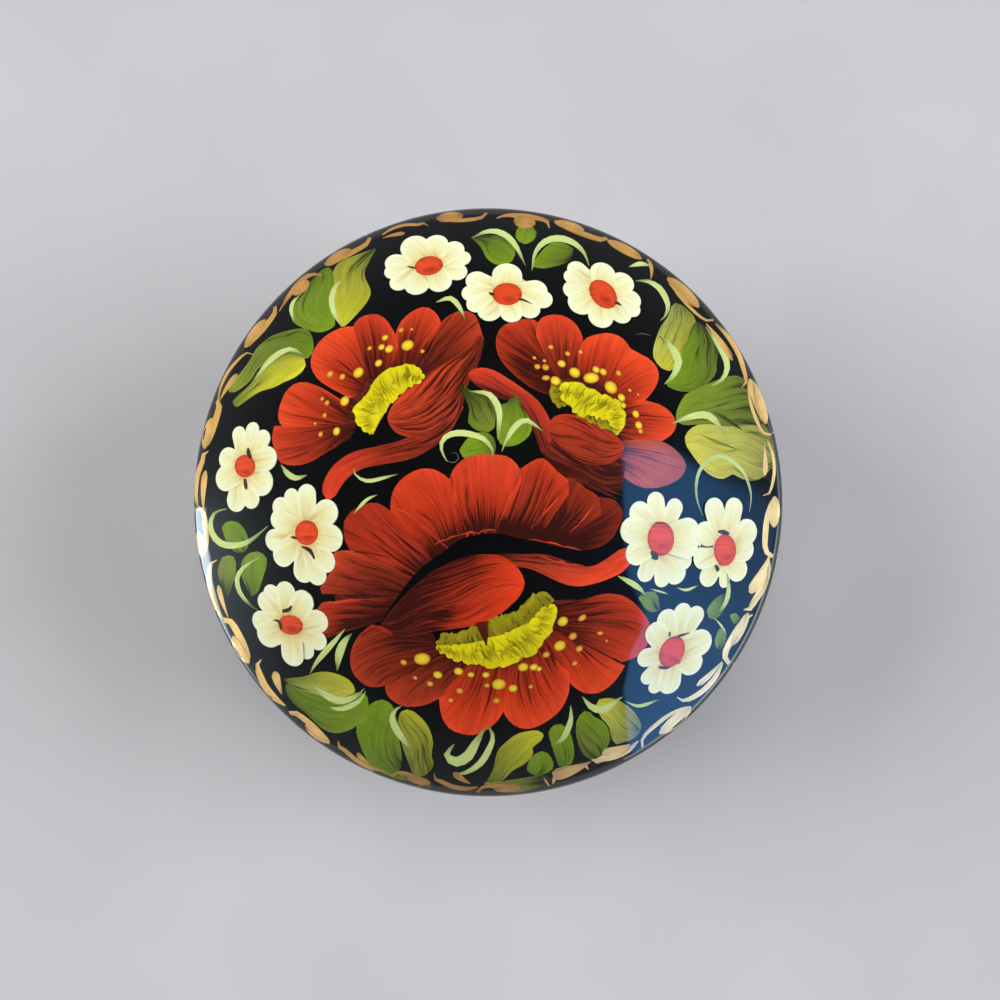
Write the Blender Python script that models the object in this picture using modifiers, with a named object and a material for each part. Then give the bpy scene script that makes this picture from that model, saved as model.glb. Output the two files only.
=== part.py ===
# A round lacquered trinket box with a lift-off domed lid, at its real size.
# The wall is turned with a through bore, its floor is a disc let in from below, and a thin collar glued
# into its mouth guides the lid. Units are metres, +Z is up, and the origin is the centre of the base.
import math

import bpy

# The lid
LID_DIAMETER = 0.1000
DOME_RISE = 0.0210
DOME_STEEPNESS = 0.93
SKIRT_HEIGHT = 0.0070
SKIRT_WALL = 0.0037
CROWN_THICKNESS = 0.0042
SHOULDER_ROUND = 0.0022

# The wall of the box
BODY_HEIGHT = 0.0356
RIM_SETBACK = 0.0004
BODY_TAPER = 0.0066
FLOOR_WALL = 0.0056
FOOT_HEIGHT = 0.0015
FOOT_INSET = 0.0016
SEAM_ROUND = 0.0005

# The collar that the lid drops over
COLLAR_HEIGHT = 0.0050
COLLAR_DEPTH = 0.0080
COLLAR_WALL = 0.0020
COLLAR_ROUND = 0.0005

# The floor of the box, its lining, and the pad that the box stands on
FLOOR_THICKNESS = 0.0032
FLOOR_LEDGE = 0.0018
FLOOR_CHAMFER = 0.0003
LINING_THICKNESS = 0.0012
PAD_THICKNESS = 0.0014
PAD_PROUD = 0.0005
FELT_CHAMFER = 0.0002

# Clearances
SEAT_GAP = 0.0003
GLUE_GAP = 0.0003
SLIDING_GAP = 0.0003
LIFT_GAP = 0.0005

# How finely the turned shapes are drawn
TURN_STEPS = 64
DOME_STEPS = 9
SIDE_STEPS = 8
ROUND_STEPS = 3
SHOULDER_PASSES = 6
MERGE_WITHIN = 0.00001
SHARP_ANGLE = math.radians(32)

# Radii that follow from the sizes above, from the outside of the lid inwards
LID_RADIUS = LID_DIAMETER / 2
DOME_CORE = ((DOME_STEEPNESS * LID_RADIUS) ** 2 - DOME_RISE**2) / (2 * DOME_RISE)
SKIRT_BORE = LID_RADIUS - SKIRT_WALL
COLLAR_RADIUS = SKIRT_BORE - SLIDING_GAP
CAVITY_RADIUS = COLLAR_RADIUS - COLLAR_WALL
SOCKET_RADIUS = COLLAR_RADIUS + GLUE_GAP
RIM_RADIUS = LID_RADIUS - RIM_SETBACK
BASE_RADIUS = RIM_RADIUS - BODY_TAPER
FOOT_RADIUS = BASE_RADIUS - FOOT_INSET
FLOOR_RADIUS = BASE_RADIUS - FLOOR_WALL
REBATE_RADIUS = FLOOR_RADIUS + FLOOR_LEDGE

# Heights that follow from them, from the table up
WALL_BOTTOM = PAD_PROUD
BELLY_BOTTOM = WALL_BOTTOM + FOOT_HEIGHT
FLOOR_BOTTOM = PAD_THICKNESS + GLUE_GAP
LEDGE_HEIGHT = FLOOR_BOTTOM + FLOOR_THICKNESS + GLUE_GAP
LINING_TOP = LEDGE_HEIGHT + LINING_THICKNESS
SOCKET_HEIGHT = BODY_HEIGHT - COLLAR_DEPTH
LID_SEAT = BODY_HEIGHT + SEAT_GAP


def clear_scene():
    """Removes whatever the file held before."""
    for obj in list(bpy.data.objects):
        bpy.data.objects.remove(obj)


def finish(name, colour, roughness):
    """The material of one piece: its colour and how rough its surface is."""
    material = bpy.data.materials.new(name)
    material.use_nodes = True
    material.diffuse_color = (*colour, 1)
    shader = material.node_tree.nodes["Principled BSDF"]
    shader.inputs["Base Color"].default_value = (*colour, 1)
    shader.inputs["Roughness"].default_value = roughness
    shader.inputs["Metallic"].default_value = 0
    return material


def arc(centre, radius, start, end, steps):
    """Points of an arc in a turned profile. Angles are in radians from straight up, towards the outside."""
    angles = [start + (end - start) * i / steps for i in range(steps + 1)]
    return [(centre[0] + radius * math.sin(a), centre[1] + radius * math.cos(a)) for a in angles]


def bowl_side(top, bottom, steps):
    """A quarter of an ellipse from the top point down to the bottom one: upright above, drawn in below."""
    (top_radius, top_height), (bottom_radius, bottom_height) = top, bottom
    points = []
    for i in range(steps + 1):
        angle = math.pi / 2 * i / steps
        radius = bottom_radius + (top_radius - bottom_radius) * math.cos(angle)
        points.append((radius, top_height - (top_height - bottom_height) * math.sin(angle)))
    return points


def file_piece(obj, collection, material, parent):
    """Puts the piece in the box's collection, gives it its material and hangs it on its parent."""
    obj.data.materials.clear()
    obj.data.materials.append(material)
    for other in list(obj.users_collection):
        other.objects.unlink(obj)
    collection.objects.link(obj)
    obj.parent = parent


def turned(name, profile, height, collection, material, parent):
    """A piece turned about the Z axis from (radius, height) points, which run down its outer side.
    A profile that starts on the axis makes a dome, and any other is closed into a ring."""
    edges = [(i, i + 1) for i in range(len(profile) - 1)]
    if profile[0][0] > 0:
        edges.append((len(profile) - 1, 0))
    outline = bpy.data.meshes.new(name)
    outline.from_pydata([(radius, 0, z) for radius, z in profile], edges, [])
    guide = bpy.data.objects.new(name + "_guide", outline)
    collection.objects.link(guide)
    screw = guide.modifiers.new("Turn", "SCREW")
    screw.steps = screw.render_steps = TURN_STEPS
    screw.use_merge_vertices = True
    screw.merge_threshold = MERGE_WITHIN
    mesh = bpy.data.meshes.new_from_object(guide.evaluated_get(bpy.context.evaluated_depsgraph_get()))
    bpy.data.objects.remove(guide)
    mesh.shade_smooth()
    mesh.set_sharp_from_angle(angle=SHARP_ANGLE)
    obj = bpy.data.objects.new(name, mesh)
    obj.location.z = height
    file_piece(obj, collection, material, parent)


def disc(name, radius, thickness, bottom, chamfer, collection, material, parent):
    """A flat round piece with its edges broken."""
    bpy.ops.mesh.primitive_cylinder_add(
        vertices=TURN_STEPS, radius=radius, depth=thickness, location=(0, 0, bottom + thickness / 2)
    )
    obj = bpy.context.object
    obj.name = obj.data.name = name
    bevel = obj.modifiers.new("Broken edge", "BEVEL")
    bevel.width = chamfer
    bevel.segments = 1
    bevel.limit_method = "ANGLE"
    file_piece(obj, collection, material, parent)


def dome_height(radius):
    """The dome's height above the skirt's lower edge: round in the middle, with sides that run out almost
    straight."""
    drop = math.hypot(DOME_CORE, DOME_STEEPNESS * radius) - DOME_CORE
    return SKIRT_HEIGHT + DOME_RISE - drop


def dome_slope(radius):
    """How far the dome's side is tilted from level there, in radians."""
    return math.atan(DOME_STEEPNESS**2 * radius / math.hypot(DOME_CORE, DOME_STEEPNESS * radius))


def lid_profile():
    """The lid's section, with height 0 where its skirt sits on the box."""
    shoulder_start = LID_RADIUS - SHOULDER_ROUND
    for _ in range(SHOULDER_PASSES):
        shoulder_angle = dome_slope(shoulder_start)
        shoulder_start = LID_RADIUS - SHOULDER_ROUND * (1 - math.sin(shoulder_angle))
    dome = [(shoulder_start * i / DOME_STEPS, dome_height(shoulder_start * i / DOME_STEPS))
            for i in range(DOME_STEPS + 1)]
    shoulder = dome[-1][1] - SHOULDER_ROUND * math.cos(shoulder_angle)
    inner = LID_RADIUS - SHOULDER_ROUND
    edge = arc((inner, shoulder), SHOULDER_ROUND, shoulder_angle, math.pi / 2, ROUND_STEPS)
    seam = arc((LID_RADIUS - SEAM_ROUND, SEAM_ROUND), SEAM_ROUND, math.pi / 2, math.pi, ROUND_STEPS)
    pocket = COLLAR_HEIGHT - SEAT_GAP + LIFT_GAP
    bore = CAVITY_RADIUS - SLIDING_GAP
    hollow = [(bore * i / DOME_STEPS, dome_height(bore * i / DOME_STEPS) - CROWN_THICKNESS)
              for i in range(DOME_STEPS, -1, -1)]
    return [*dome, *edge[1:], *seam, (SKIRT_BORE, 0), (SKIRT_BORE, pocket), (bore, pocket), *hollow]


def wall_profile():
    """The box wall's section: rim, bellied side, foot, the rebate for the floor, and the collar's socket."""
    rim = arc((RIM_RADIUS - SEAM_ROUND, BODY_HEIGHT - SEAM_ROUND), SEAM_ROUND, 0, math.pi / 2, ROUND_STEPS)
    side = bowl_side((RIM_RADIUS, BODY_HEIGHT - 2 * SEAM_ROUND), (BASE_RADIUS, BELLY_BOTTOM), SIDE_STEPS)
    foot = [(FOOT_RADIUS, BELLY_BOTTOM), (FOOT_RADIUS, WALL_BOTTOM), (REBATE_RADIUS, WALL_BOTTOM)]
    rebate = [(REBATE_RADIUS, LEDGE_HEIGHT), (FLOOR_RADIUS, LEDGE_HEIGHT)]
    inside = bowl_side((CAVITY_RADIUS, SOCKET_HEIGHT), (FLOOR_RADIUS, LINING_TOP), SIDE_STEPS)
    socket = [(SOCKET_RADIUS, SOCKET_HEIGHT), (SOCKET_RADIUS, BODY_HEIGHT)]
    return [*rim, *side, *foot, *rebate, *reversed(inside), *socket]


def collar_profile():
    """The collar's section, with height 0 at the socket's ledge. Rounded top edges let the lid find it."""
    top = COLLAR_DEPTH + COLLAR_HEIGHT - COLLAR_ROUND
    outer = arc((COLLAR_RADIUS - COLLAR_ROUND, top), COLLAR_ROUND, 0, math.pi / 2, ROUND_STEPS)
    inner = arc((CAVITY_RADIUS + COLLAR_ROUND, top), COLLAR_ROUND, -math.pi / 2, 0, ROUND_STEPS)
    return [*outer, (COLLAR_RADIUS, GLUE_GAP), (CAVITY_RADIUS, GLUE_GAP), *inner]


def main():
    clear_scene()
    collection = bpy.data.collections.new("Trinket box")
    bpy.context.scene.collection.children.link(collection)
    box = bpy.data.objects.new("box", None)
    lid_lift = bpy.data.objects.new("lid_lift", None)
    collection.objects.link(box)
    collection.objects.link(lid_lift)
    lid_lift.parent = box
    lid_lift.location.z = LID_SEAT

    lid_black = finish("Lid black lacquer", (0.0035, 0.0025, 0.0025), 0.08)
    wall_black = finish("Wall black lacquer", (0.0035, 0.0025, 0.0025), 0.10)
    collar_red = finish("Collar red lacquer", (0.3300, 0.0220, 0.0140), 0.18)
    floor_wood = finish("Floor disc wood", (0.3600, 0.2000, 0.0900), 0.60)
    lining_felt = finish("Lining felt", (0.2200, 0.0120, 0.0160), 0.95)
    pad_felt = finish("Pad felt", (0.0120, 0.0120, 0.0130), 0.95)

    turned("lid", lid_profile(), 0, collection, lid_black, lid_lift)
    turned("box_wall", wall_profile(), 0, collection, wall_black, box)
    turned("lid_collar", collar_profile(), SOCKET_HEIGHT, collection, collar_red, box)

    rebate_disc = REBATE_RADIUS - GLUE_GAP
    lining_disc = FLOOR_RADIUS - GLUE_GAP
    disc("box_floor", rebate_disc, FLOOR_THICKNESS, FLOOR_BOTTOM, FLOOR_CHAMFER, collection, floor_wood, box)
    disc("floor_lining", lining_disc, LINING_THICKNESS, LEDGE_HEIGHT, FELT_CHAMFER, collection, lining_felt, box)
    disc("base_pad", rebate_disc, PAD_THICKNESS, 0, FELT_CHAMFER, collection, pad_felt, box)


main()
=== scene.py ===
# A round lacquered trinket box with a painted lid. The shapes are turned profiles and painted strokes.
# Sizes are in metres. The painting is written in millimetres, as it is seen from straight above: x and y
# are the place in the plane of the lid's rim, and each stroke is laid on the dome under that place.
import math

import bmesh
import bpy
import numpy as np
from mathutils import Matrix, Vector


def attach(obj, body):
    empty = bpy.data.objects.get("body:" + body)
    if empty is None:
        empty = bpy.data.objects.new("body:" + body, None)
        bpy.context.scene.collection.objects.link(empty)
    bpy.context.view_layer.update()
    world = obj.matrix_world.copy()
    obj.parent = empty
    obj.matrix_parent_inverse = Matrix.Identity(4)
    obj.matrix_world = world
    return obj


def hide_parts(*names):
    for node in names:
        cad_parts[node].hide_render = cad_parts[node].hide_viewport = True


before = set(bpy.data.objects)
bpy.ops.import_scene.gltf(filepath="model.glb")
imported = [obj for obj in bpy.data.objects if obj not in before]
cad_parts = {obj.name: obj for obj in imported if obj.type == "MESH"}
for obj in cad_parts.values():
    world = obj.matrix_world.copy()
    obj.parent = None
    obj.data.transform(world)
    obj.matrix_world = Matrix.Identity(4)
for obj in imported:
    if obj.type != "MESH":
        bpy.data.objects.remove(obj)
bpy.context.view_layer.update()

MM = 0.001

# The lid, as in the frame
LID_RADIUS = 50.0
RIM_HEIGHT = 42.9
DOME_RISE = 21.0
DOME_STEEPNESS = 0.93
LID_SEAT = 35.9
SHOULDER_ROUND = 2.2
SEAM_ROUND = 0.5
SKIRT_BORE = 46.3
POCKET_HEIGHT = 41.1
CROWN_THICKNESS = 4.2
BORE_RADIUS = 43.7
DOME_CORE = ((DOME_STEEPNESS * LID_RADIUS) ** 2 - DOME_RISE**2) / (2 * DOME_RISE)

# The dome is turned this much lower than the frame's, so that the paint on it stays inside the frame's
PAINT_ROOM = 0.17
# How high the first layer of paint stands, how much each further one adds, how deep a stroke's skin reaches
# below the dome, and how far out strokes are laid
FIRST_LAYER = 0.014
LAYER = 0.011
PAINT_DEPTH = 0.05
PAINT_LIMIT = 49.6
SETTLE_PASSES = 24
# The map that keeps how high the paint stands: the size and number of its cells, the margin round the lid,
# and how much finer than its own grid a stroke is looked up in it
CELL = 0.4
MAP_CELLS = int(2 * LID_RADIUS / CELL) + 8
MAP_EDGE = 1.0
MAP_PARTS = 4

# The box below the lid
RIM_RADIUS = 49.6
BODY_TOP = 35.6
BASE_RADIUS = 43.0
FOOT_RADIUS = 41.4
FOOT_TOP = 2.0
WALL_BOTTOM = 0.5
REBATE_RADIUS = 39.2
LEDGE_HEIGHT = 5.2
FLOOR_RADIUS = 37.4
LINING_TOP = 6.4
CAVITY_RADIUS = 44.0
SOCKET_HEIGHT = 27.6
SOCKET_RADIUS = 46.3
COLLAR_RADIUS = 46.0
COLLAR_TOP = 40.6
COLLAR_ROUND = 0.5
GLUE_GAP = 0.3
DISC_RADIUS = 38.9
LINING_RADIUS = 37.1
FLOOR_BOTTOM = 1.7
FLOOR_TOP = 4.9
PAD_TOP = 1.4

# The photograph's camera: straight above, a little to one side of the lid's axis
EYE = np.array([2.0, 0.4, 212.3])
LENS = 36.1
SENSOR_WIDTH = 36

# How finely the turned pieces are cut, the disc's broken edges, and the angle of an edge that stays sharp
TURN_STEPS = 256
DOME_RINGS = 46
HOLLOW_RINGS = 30
SHOULDER_STEPS = 9
SHOULDER_PASSES = 6
SIDE_STEPS = 26
INSIDE_STEPS = 18
EDGE_STEPS = 5
FLOOR_RINGS = 3
LINING_RINGS = 46
PAD_RINGS = 30
DISC_EDGE = 0.3
SHARP_ANGLE = 34

# How finely strokes are cut, the least width of a thin one, and the width from which one is cut finer across
SMOOTH_STEPS = 10
STROKE_STEP = 1.15
LEAST_ROWS = 9
LEAST_WIDTH = 0.06
BROAD_WIDTH = 2.5
BROAD_DOT = 0.8
# A comma's width at its ends, as a share of its fullest, and how it swells
COMMA_ENDS = 0.10
COMMA_SWELL = 1.1
# How far the grain of one stroke is from the next one's
GRAIN_SHIFT = 1.37
# How much the slope at the rim narrows a shape, seen from above, and how near the middle there is none
RIM_SQUEEZE = 0.37
MIDDLE_REACH = 0.5


def linear(red, green, blue):
    """A colour as a screen shows it, 0 to 255, in the linear values that shaders take."""
    shown = np.array([red, green, blue], float) / 255
    return np.where(shown <= 0.04045, shown / 12.92, ((shown + 0.055) / 1.055) ** 2.4)


# Materials: nodes for lacquer, brush paint, felt and bare wood


class Look:
    """A material of nodes round one Principled shader."""

    def __init__(self, name, **sockets):
        self.material = bpy.data.materials.new(name)
        self.material.use_nodes = True
        self.tree = self.material.node_tree
        self.shader = self.tree.nodes["Principled BSDF"]
        for socket, value in sockets.items():
            self.shader.inputs[socket.replace("_", " ")].default_value = value

    def add(self, kind, inputs=None, **settings):
        """A node with its settings, and its inputs set or linked."""
        node = self.tree.nodes.new(kind)
        for key, value in settings.items():
            setattr(node, key, value)
        for key, value in (inputs or {}).items():
            if isinstance(value, bpy.types.NodeSocket):
                self.tree.links.new(value, node.inputs[key])
            else:
                node.inputs[key].default_value = value
        return node

    def math(self, operation, first, second=0.0):
        return self.add("ShaderNodeMath", {0: first, 1: second}, operation=operation).outputs[0]

    def vector(self, operation, first, second):
        return self.add("ShaderNodeVectorMath", {0: first, 1: second}, operation=operation).outputs[0]

    def scale(self, vector, factor):
        return self.add("ShaderNodeVectorMath", {0: vector, 3: factor}, operation="SCALE").outputs[0]

    def attribute(self, name):
        return self.add("ShaderNodeAttribute", attribute_name=name).outputs

    def noise(self, place, scale, detail=3.0, roughness=0.55):
        made = self.add(
            "ShaderNodeTexNoise", {"Vector": place, "Scale": scale, "Detail": detail, "Roughness": roughness}
        )
        return made.outputs["Fac"]

    def stretch(self, value, low, high, to_low=0.0, to_high=1.0, smooth=False):
        made = self.add(
            "ShaderNodeMapRange",
            {"Value": value, "From Min": low, "From Max": high, "To Min": to_low, "To Max": to_high},
            interpolation_type="SMOOTHSTEP" if smooth else "LINEAR",
        )
        return made.outputs["Result"]

    def mix(self, amount, first, second):
        made = self.add("ShaderNodeMix", {"Factor": amount}, data_type="RGBA")
        for key, value in ((6, first), (7, second)):
            if isinstance(value, bpy.types.NodeSocket):
                self.tree.links.new(value, made.inputs[key])
            else:
                made.inputs[key].default_value = (*value, 1.0)
        return made.outputs[2]

    def link(self, value, socket):
        self.tree.links.new(value, self.shader.inputs[socket])

    def bump(self, height, distance):
        """A bump whose depth is given in millimetres."""
        made = self.add("ShaderNodeBump", {"Height": height, "Distance": distance * MM, "Strength": 1.0})
        self.link(made.outputs["Normal"], "Normal")


def place(look):
    """Where a point is on the object, in millimetres."""
    return look.scale(look.add("ShaderNodeTexCoord").outputs["Object"], 1 / MM)


# The clear coat over lacquer and paint, and how rough it is over the paint
CLEAR_COAT = {"Coat_Weight": 1.0, "Coat_IOR": 1.5, "Specular_IOR_Level": 0.08}
PAINT_COAT_ROUGHNESS = 0.035
# How the grain of the brush is stretched along a stroke, across it and from one stroke to the next, for how
# much paint the brush carries and for how its hairs wander
LOAD_GRAIN = (0.35, 0.5, 3.1)
WANDER_GRAIN = (0.09, 0.22, 2.3)


def lacquer(name, colour, worn, coat_roughness):
    """Gloss lacquer over paint, a little uneven in colour and in how rough it is below the clear coat."""
    look = Look(name, **CLEAR_COAT, Coat_Roughness=coat_roughness)
    where = place(look)
    cloud = look.noise(where, 0.09, 4.0)
    fine = look.noise(where, 1.7, 5.0, 0.65)
    both = look.math("ADD", look.math("MULTIPLY", cloud, 0.7), look.math("MULTIPLY", fine, 0.3))
    look.link(look.mix(look.stretch(both, 0.35, 0.65), colour, worn), "Base Color")
    look.link(look.stretch(fine, 0.3, 0.7, 0.28, 0.46), "Roughness")
    look.bump(fine, 0.004)
    return look.material


def brushed(name, under, streak, contrast, depth=0.012, metallic=0.0, roughness=(0.34, 0.52), hair=0.0):
    """Brush paint below the clear coat. The colour comes from the stroke, and where the stroke runs thin,
    the bristles leave streaks of what is under it, and fine dark lines as strong as hair says."""
    look = Look(name, **CLEAR_COAT, Coat_Roughness=PAINT_COAT_ROUGHNESS, Metallic=metallic)
    tint = look.attribute("tint")
    grain = look.attribute("grain")["Vector"]
    loads = look.noise(look.vector("MULTIPLY", grain, LOAD_GRAIN), 1.0, 2.0)
    slow = look.vector("MULTIPLY", grain, WANDER_GRAIN)
    drift = look.math("MULTIPLY", look.noise(slow, 1.0, 0.0), 4.0)
    wander = look.add("ShaderNodeCombineXYZ", {"Y": drift}).outputs[0]
    bent = look.vector("ADD", grain, wander)
    hairs = look.noise(look.vector("MULTIPLY", bent, (0.12, streak, 5.3)), 1.0, 3.0, 0.55)
    spread = look.stretch(hairs, 0.30, 0.70)
    thin = look.math("SUBTRACT", look.math("MULTIPLY", tint["Alpha"], 1.35), 0.2)
    cover = look.stretch(look.math("SUBTRACT", spread, thin), -0.26, 0.30, smooth=True)
    light = look.stretch(spread, 0.0, 1.0, 1.0 - 0.20 * contrast, 1.0 + 0.16 * contrast)
    wide = look.stretch(loads, 0.3, 0.7, 1.0 - 0.10 * contrast, 1.0 + 0.08 * contrast)
    shade = look.math("MULTIPLY", light, wide)
    if hair:
        drawn = look.noise(look.vector("MULTIPLY", bent, (0.05, 0.62 * streak, 9.1)), 1.0, 1.5)
        ridge = look.math("ABSOLUTE", look.math("SUBTRACT", drawn, 0.5))
        line = look.stretch(ridge, 0.0, 0.075, 1.0, 0.0, smooth=True)
        strength = look.stretch(tint["Alpha"], 0.02, 0.45, 0.0, hair)
        dark = look.math("MULTIPLY", line, strength)
        shade = look.math("MULTIPLY", shade, look.math("SUBTRACT", 1.0, dark))
    look.link(look.mix(cover, under, look.scale(tint["Color"], shade)), "Base Color")
    look.link(look.stretch(hairs, 0.3, 0.7, *roughness), "Roughness")
    look.bump(hairs, depth)
    return look.material


def felt(name, colour, deep):
    """Short wool felt: matted fibres, and a soft sheen at a low angle."""
    look = Look(name, Sheen_Weight=0.35, Sheen_Roughness=0.5, Specular_IOR_Level=0.1)
    where = place(look)
    fibre = look.noise(where, 3.4, 6.0, 0.7)
    clump = look.noise(where, 0.55, 3.0)
    both = look.math("ADD", look.math("MULTIPLY", fibre, 0.65), look.math("MULTIPLY", clump, 0.35))
    look.link(look.mix(look.stretch(both, 0.36, 0.64), deep, colour), "Base Color")
    look.link(look.stretch(fibre, 0.3, 0.7, 0.82, 0.98), "Roughness")
    look.bump(fibre, 0.12)
    return look.material


def turned_wood(name, light, dark):
    """Bare limewood: faint growth lines, fine pores, and the marks of the turning tool."""
    look = Look(name, Specular_IOR_Level=0.3)
    where = place(look)
    along = look.vector("MULTIPLY", where, (0.10, 1.0, 0.35))
    figure = look.noise(along, 0.75, 5.0, 0.6)
    pores = look.noise(along, 6.0, 3.0)
    both = look.math("ADD", look.math("MULTIPLY", figure, 0.75), look.math("MULTIPLY", pores, 0.25))
    look.link(look.mix(look.stretch(both, 0.36, 0.64), dark, light), "Base Color")
    rings = look.add(
        "ShaderNodeTexWave", {"Vector": where, "Scale": 0.9}, wave_type="RINGS", rings_direction="Z"
    )
    look.link(look.stretch(pores, 0.3, 0.7, 0.5, 0.68), "Roughness")
    look.bump(look.math("ADD", rings.outputs["Fac"], pores), 0.012)
    return look.material


# Turned pieces


def arc(centre, radius, start, end, steps):
    """Points of an arc in a turned profile. Angles are in degrees from straight up, towards the outside."""
    angles = np.radians(np.linspace(start, end, steps + 1))
    return [(centre[0] + radius * math.sin(a), centre[1] + radius * math.cos(a)) for a in angles]


def bowl_side(top, bottom, steps):
    """A quarter of an ellipse from the top point down to the bottom one: upright above, drawn in below."""
    (top_radius, top_height), (bottom_radius, bottom_height) = top, bottom
    points = []
    for i in range(steps + 1):
        angle = math.pi / 2 * i / steps
        radius = bottom_radius + (top_radius - bottom_radius) * math.cos(angle)
        points.append((radius, top_height - (top_height - bottom_height) * math.sin(angle)))
    return points


def turned(name, profile, body, node, materials, inside=None):
    """A piece turned about the Z axis from (radius, height) points in millimetres. Faces from the inside
    point on take the second material."""
    closed = profile[0][0] > 0
    angles = np.linspace(0, 2 * math.pi, TURN_STEPS, endpoint=False)
    verts = []
    rings = []
    for radius, height in profile:
        if radius <= 0:
            rings.append([len(verts)])
            verts.append((0, 0, height * MM))
            continue
        rings.append(list(range(len(verts), len(verts) + TURN_STEPS)))
        verts.extend((radius * MM * math.cos(a), radius * MM * math.sin(a), height * MM) for a in angles)
    faces = []
    looks = []
    pairs = list(zip(rings, rings[1:]))
    if closed:
        pairs.append((rings[-1], rings[0]))
    for number, (upper, lower) in enumerate(pairs):
        for i in range(TURN_STEPS):
            j = (i + 1) % TURN_STEPS
            corners = [upper[i % len(upper)], lower[i % len(lower)]]
            corners += [lower[j % len(lower)], upper[j % len(upper)]]
            faces.append(list(dict.fromkeys(corners)))
            looks.append(1 if inside is not None and number >= inside else 0)
    mesh = bpy.data.meshes.new(name)
    mesh.from_pydata(verts, [], faces)
    for material in materials:
        mesh.materials.append(material)
    mesh.polygons.foreach_set("material_index", looks)
    mesh.shade_smooth()
    mesh.set_sharp_from_angle(angle=math.radians(SHARP_ANGLE))
    obj = bpy.data.objects.new(name, mesh)
    bpy.context.scene.collection.objects.link(obj)
    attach(obj, body)
    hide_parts(node)
    return obj


def dome_height(radius):
    """How high the dome stands at a distance from its axis: round in the middle, nearly straight below."""
    drop = np.hypot(DOME_CORE, DOME_STEEPNESS * radius) - DOME_CORE
    return RIM_HEIGHT + DOME_RISE - PAINT_ROOM - drop


def dome_slope(radius):
    """How far the dome's side is tilted from level there, in radians."""
    return np.arctan(DOME_STEEPNESS**2 * radius / np.hypot(DOME_CORE, DOME_STEEPNESS * radius))


def shoulder():
    """Where the dome goes over into its rounded shoulder, and the middle of that round."""
    start = LID_RADIUS - SHOULDER_ROUND
    for _ in range(SHOULDER_PASSES):
        start = LID_RADIUS - SHOULDER_ROUND * (1 - math.sin(dome_slope(start)))
    middle = dome_height(start) - SHOULDER_ROUND * math.cos(dome_slope(start))
    return start, LID_RADIUS - SHOULDER_ROUND, middle


SHOULDER_START, SHOULDER_RADIUS, SHOULDER_HEIGHT = shoulder()


def lid_profile():
    """The lid's section, and the number of the point where its inside starts."""
    dome = [(r, dome_height(r)) for r in np.linspace(0, SHOULDER_START, DOME_RINGS)]
    slope = math.degrees(dome_slope(SHOULDER_START))
    edge = arc((SHOULDER_RADIUS, SHOULDER_HEIGHT), SHOULDER_ROUND, slope, 90, SHOULDER_STEPS)
    seam = arc((LID_RADIUS - SEAM_ROUND, LID_SEAT + SEAM_ROUND), SEAM_ROUND, 90, 180, EDGE_STEPS)
    across = np.linspace(BORE_RADIUS, 0, HOLLOW_RINGS)
    hollow = [(r, dome_height(r) + PAINT_ROOM - CROWN_THICKNESS) for r in across]
    outside = [*dome, *edge[1:], *seam]
    inside = [(SKIRT_BORE, LID_SEAT), (SKIRT_BORE, POCKET_HEIGHT), (BORE_RADIUS, POCKET_HEIGHT), *hollow]
    return outside + inside, len(outside) - 1


def wall_profile():
    """The box wall's section: rim, bellied side, foot, rebate for the floor, inside and socket, and the
    number of the point where its inside starts."""
    rim = arc((RIM_RADIUS - SEAM_ROUND, BODY_TOP - SEAM_ROUND), SEAM_ROUND, 0, 90, EDGE_STEPS)
    side = bowl_side((RIM_RADIUS, BODY_TOP - 2 * SEAM_ROUND), (BASE_RADIUS, FOOT_TOP), SIDE_STEPS)
    foot = [(FOOT_RADIUS, FOOT_TOP), (FOOT_RADIUS, WALL_BOTTOM), (REBATE_RADIUS, WALL_BOTTOM)]
    rebate = [(REBATE_RADIUS, LEDGE_HEIGHT), (FLOOR_RADIUS, LEDGE_HEIGHT)]
    inside = bowl_side((CAVITY_RADIUS, SOCKET_HEIGHT), (FLOOR_RADIUS, LINING_TOP), INSIDE_STEPS)
    socket = [(SOCKET_RADIUS, SOCKET_HEIGHT), (SOCKET_RADIUS, BODY_TOP)]
    outside = [*rim, *side, *foot, *rebate]
    return [*outside, *reversed(inside), *socket], len(outside) - 1


def collar_profile():
    """The collar's section, with its top edges rounded so that the lid finds it."""
    top = COLLAR_TOP - COLLAR_ROUND
    outer = arc((COLLAR_RADIUS - COLLAR_ROUND, top), COLLAR_ROUND, 0, 90, EDGE_STEPS)
    inner = arc((CAVITY_RADIUS + COLLAR_ROUND, top), COLLAR_ROUND, -90, 0, EDGE_STEPS)
    bottom = SOCKET_HEIGHT + GLUE_GAP
    return [*outer, (COLLAR_RADIUS, bottom), (CAVITY_RADIUS, bottom), *inner]


def disc_profile(radius, bottom, top, rings):
    """A flat disc with its edges broken, cut into rings from the middle out and back."""
    across = np.linspace(0, radius - DISC_EDGE, rings)
    upper = [(r, top) for r in across]
    lower = [(r, bottom) for r in across[::-1]]
    return [*upper, (radius, top - DISC_EDGE), (radius, bottom + DISC_EDGE), *lower]


# How strokes are laid. The map of how high the paint stands, and how many strokes there are so far:
paint_top = np.zeros((MAP_CELLS, MAP_CELLS))
stroke_count = 0


def surface(radius):
    """The lid's height at a distance from its axis, and how its face is tilted: outwards and upwards."""
    slope = dome_slope(radius)
    beyond = np.clip((radius - SHOULDER_RADIUS) / SHOULDER_ROUND, 0, 0.97)
    rounded = radius > SHOULDER_START
    round_height = SHOULDER_HEIGHT + SHOULDER_ROUND * np.sqrt(1 - beyond**2)
    height = np.where(rounded, round_height, dome_height(radius))
    outwards = np.where(rounded, beyond, np.sin(slope))
    return height, outwards, np.sqrt(1 - outwards**2)


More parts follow.
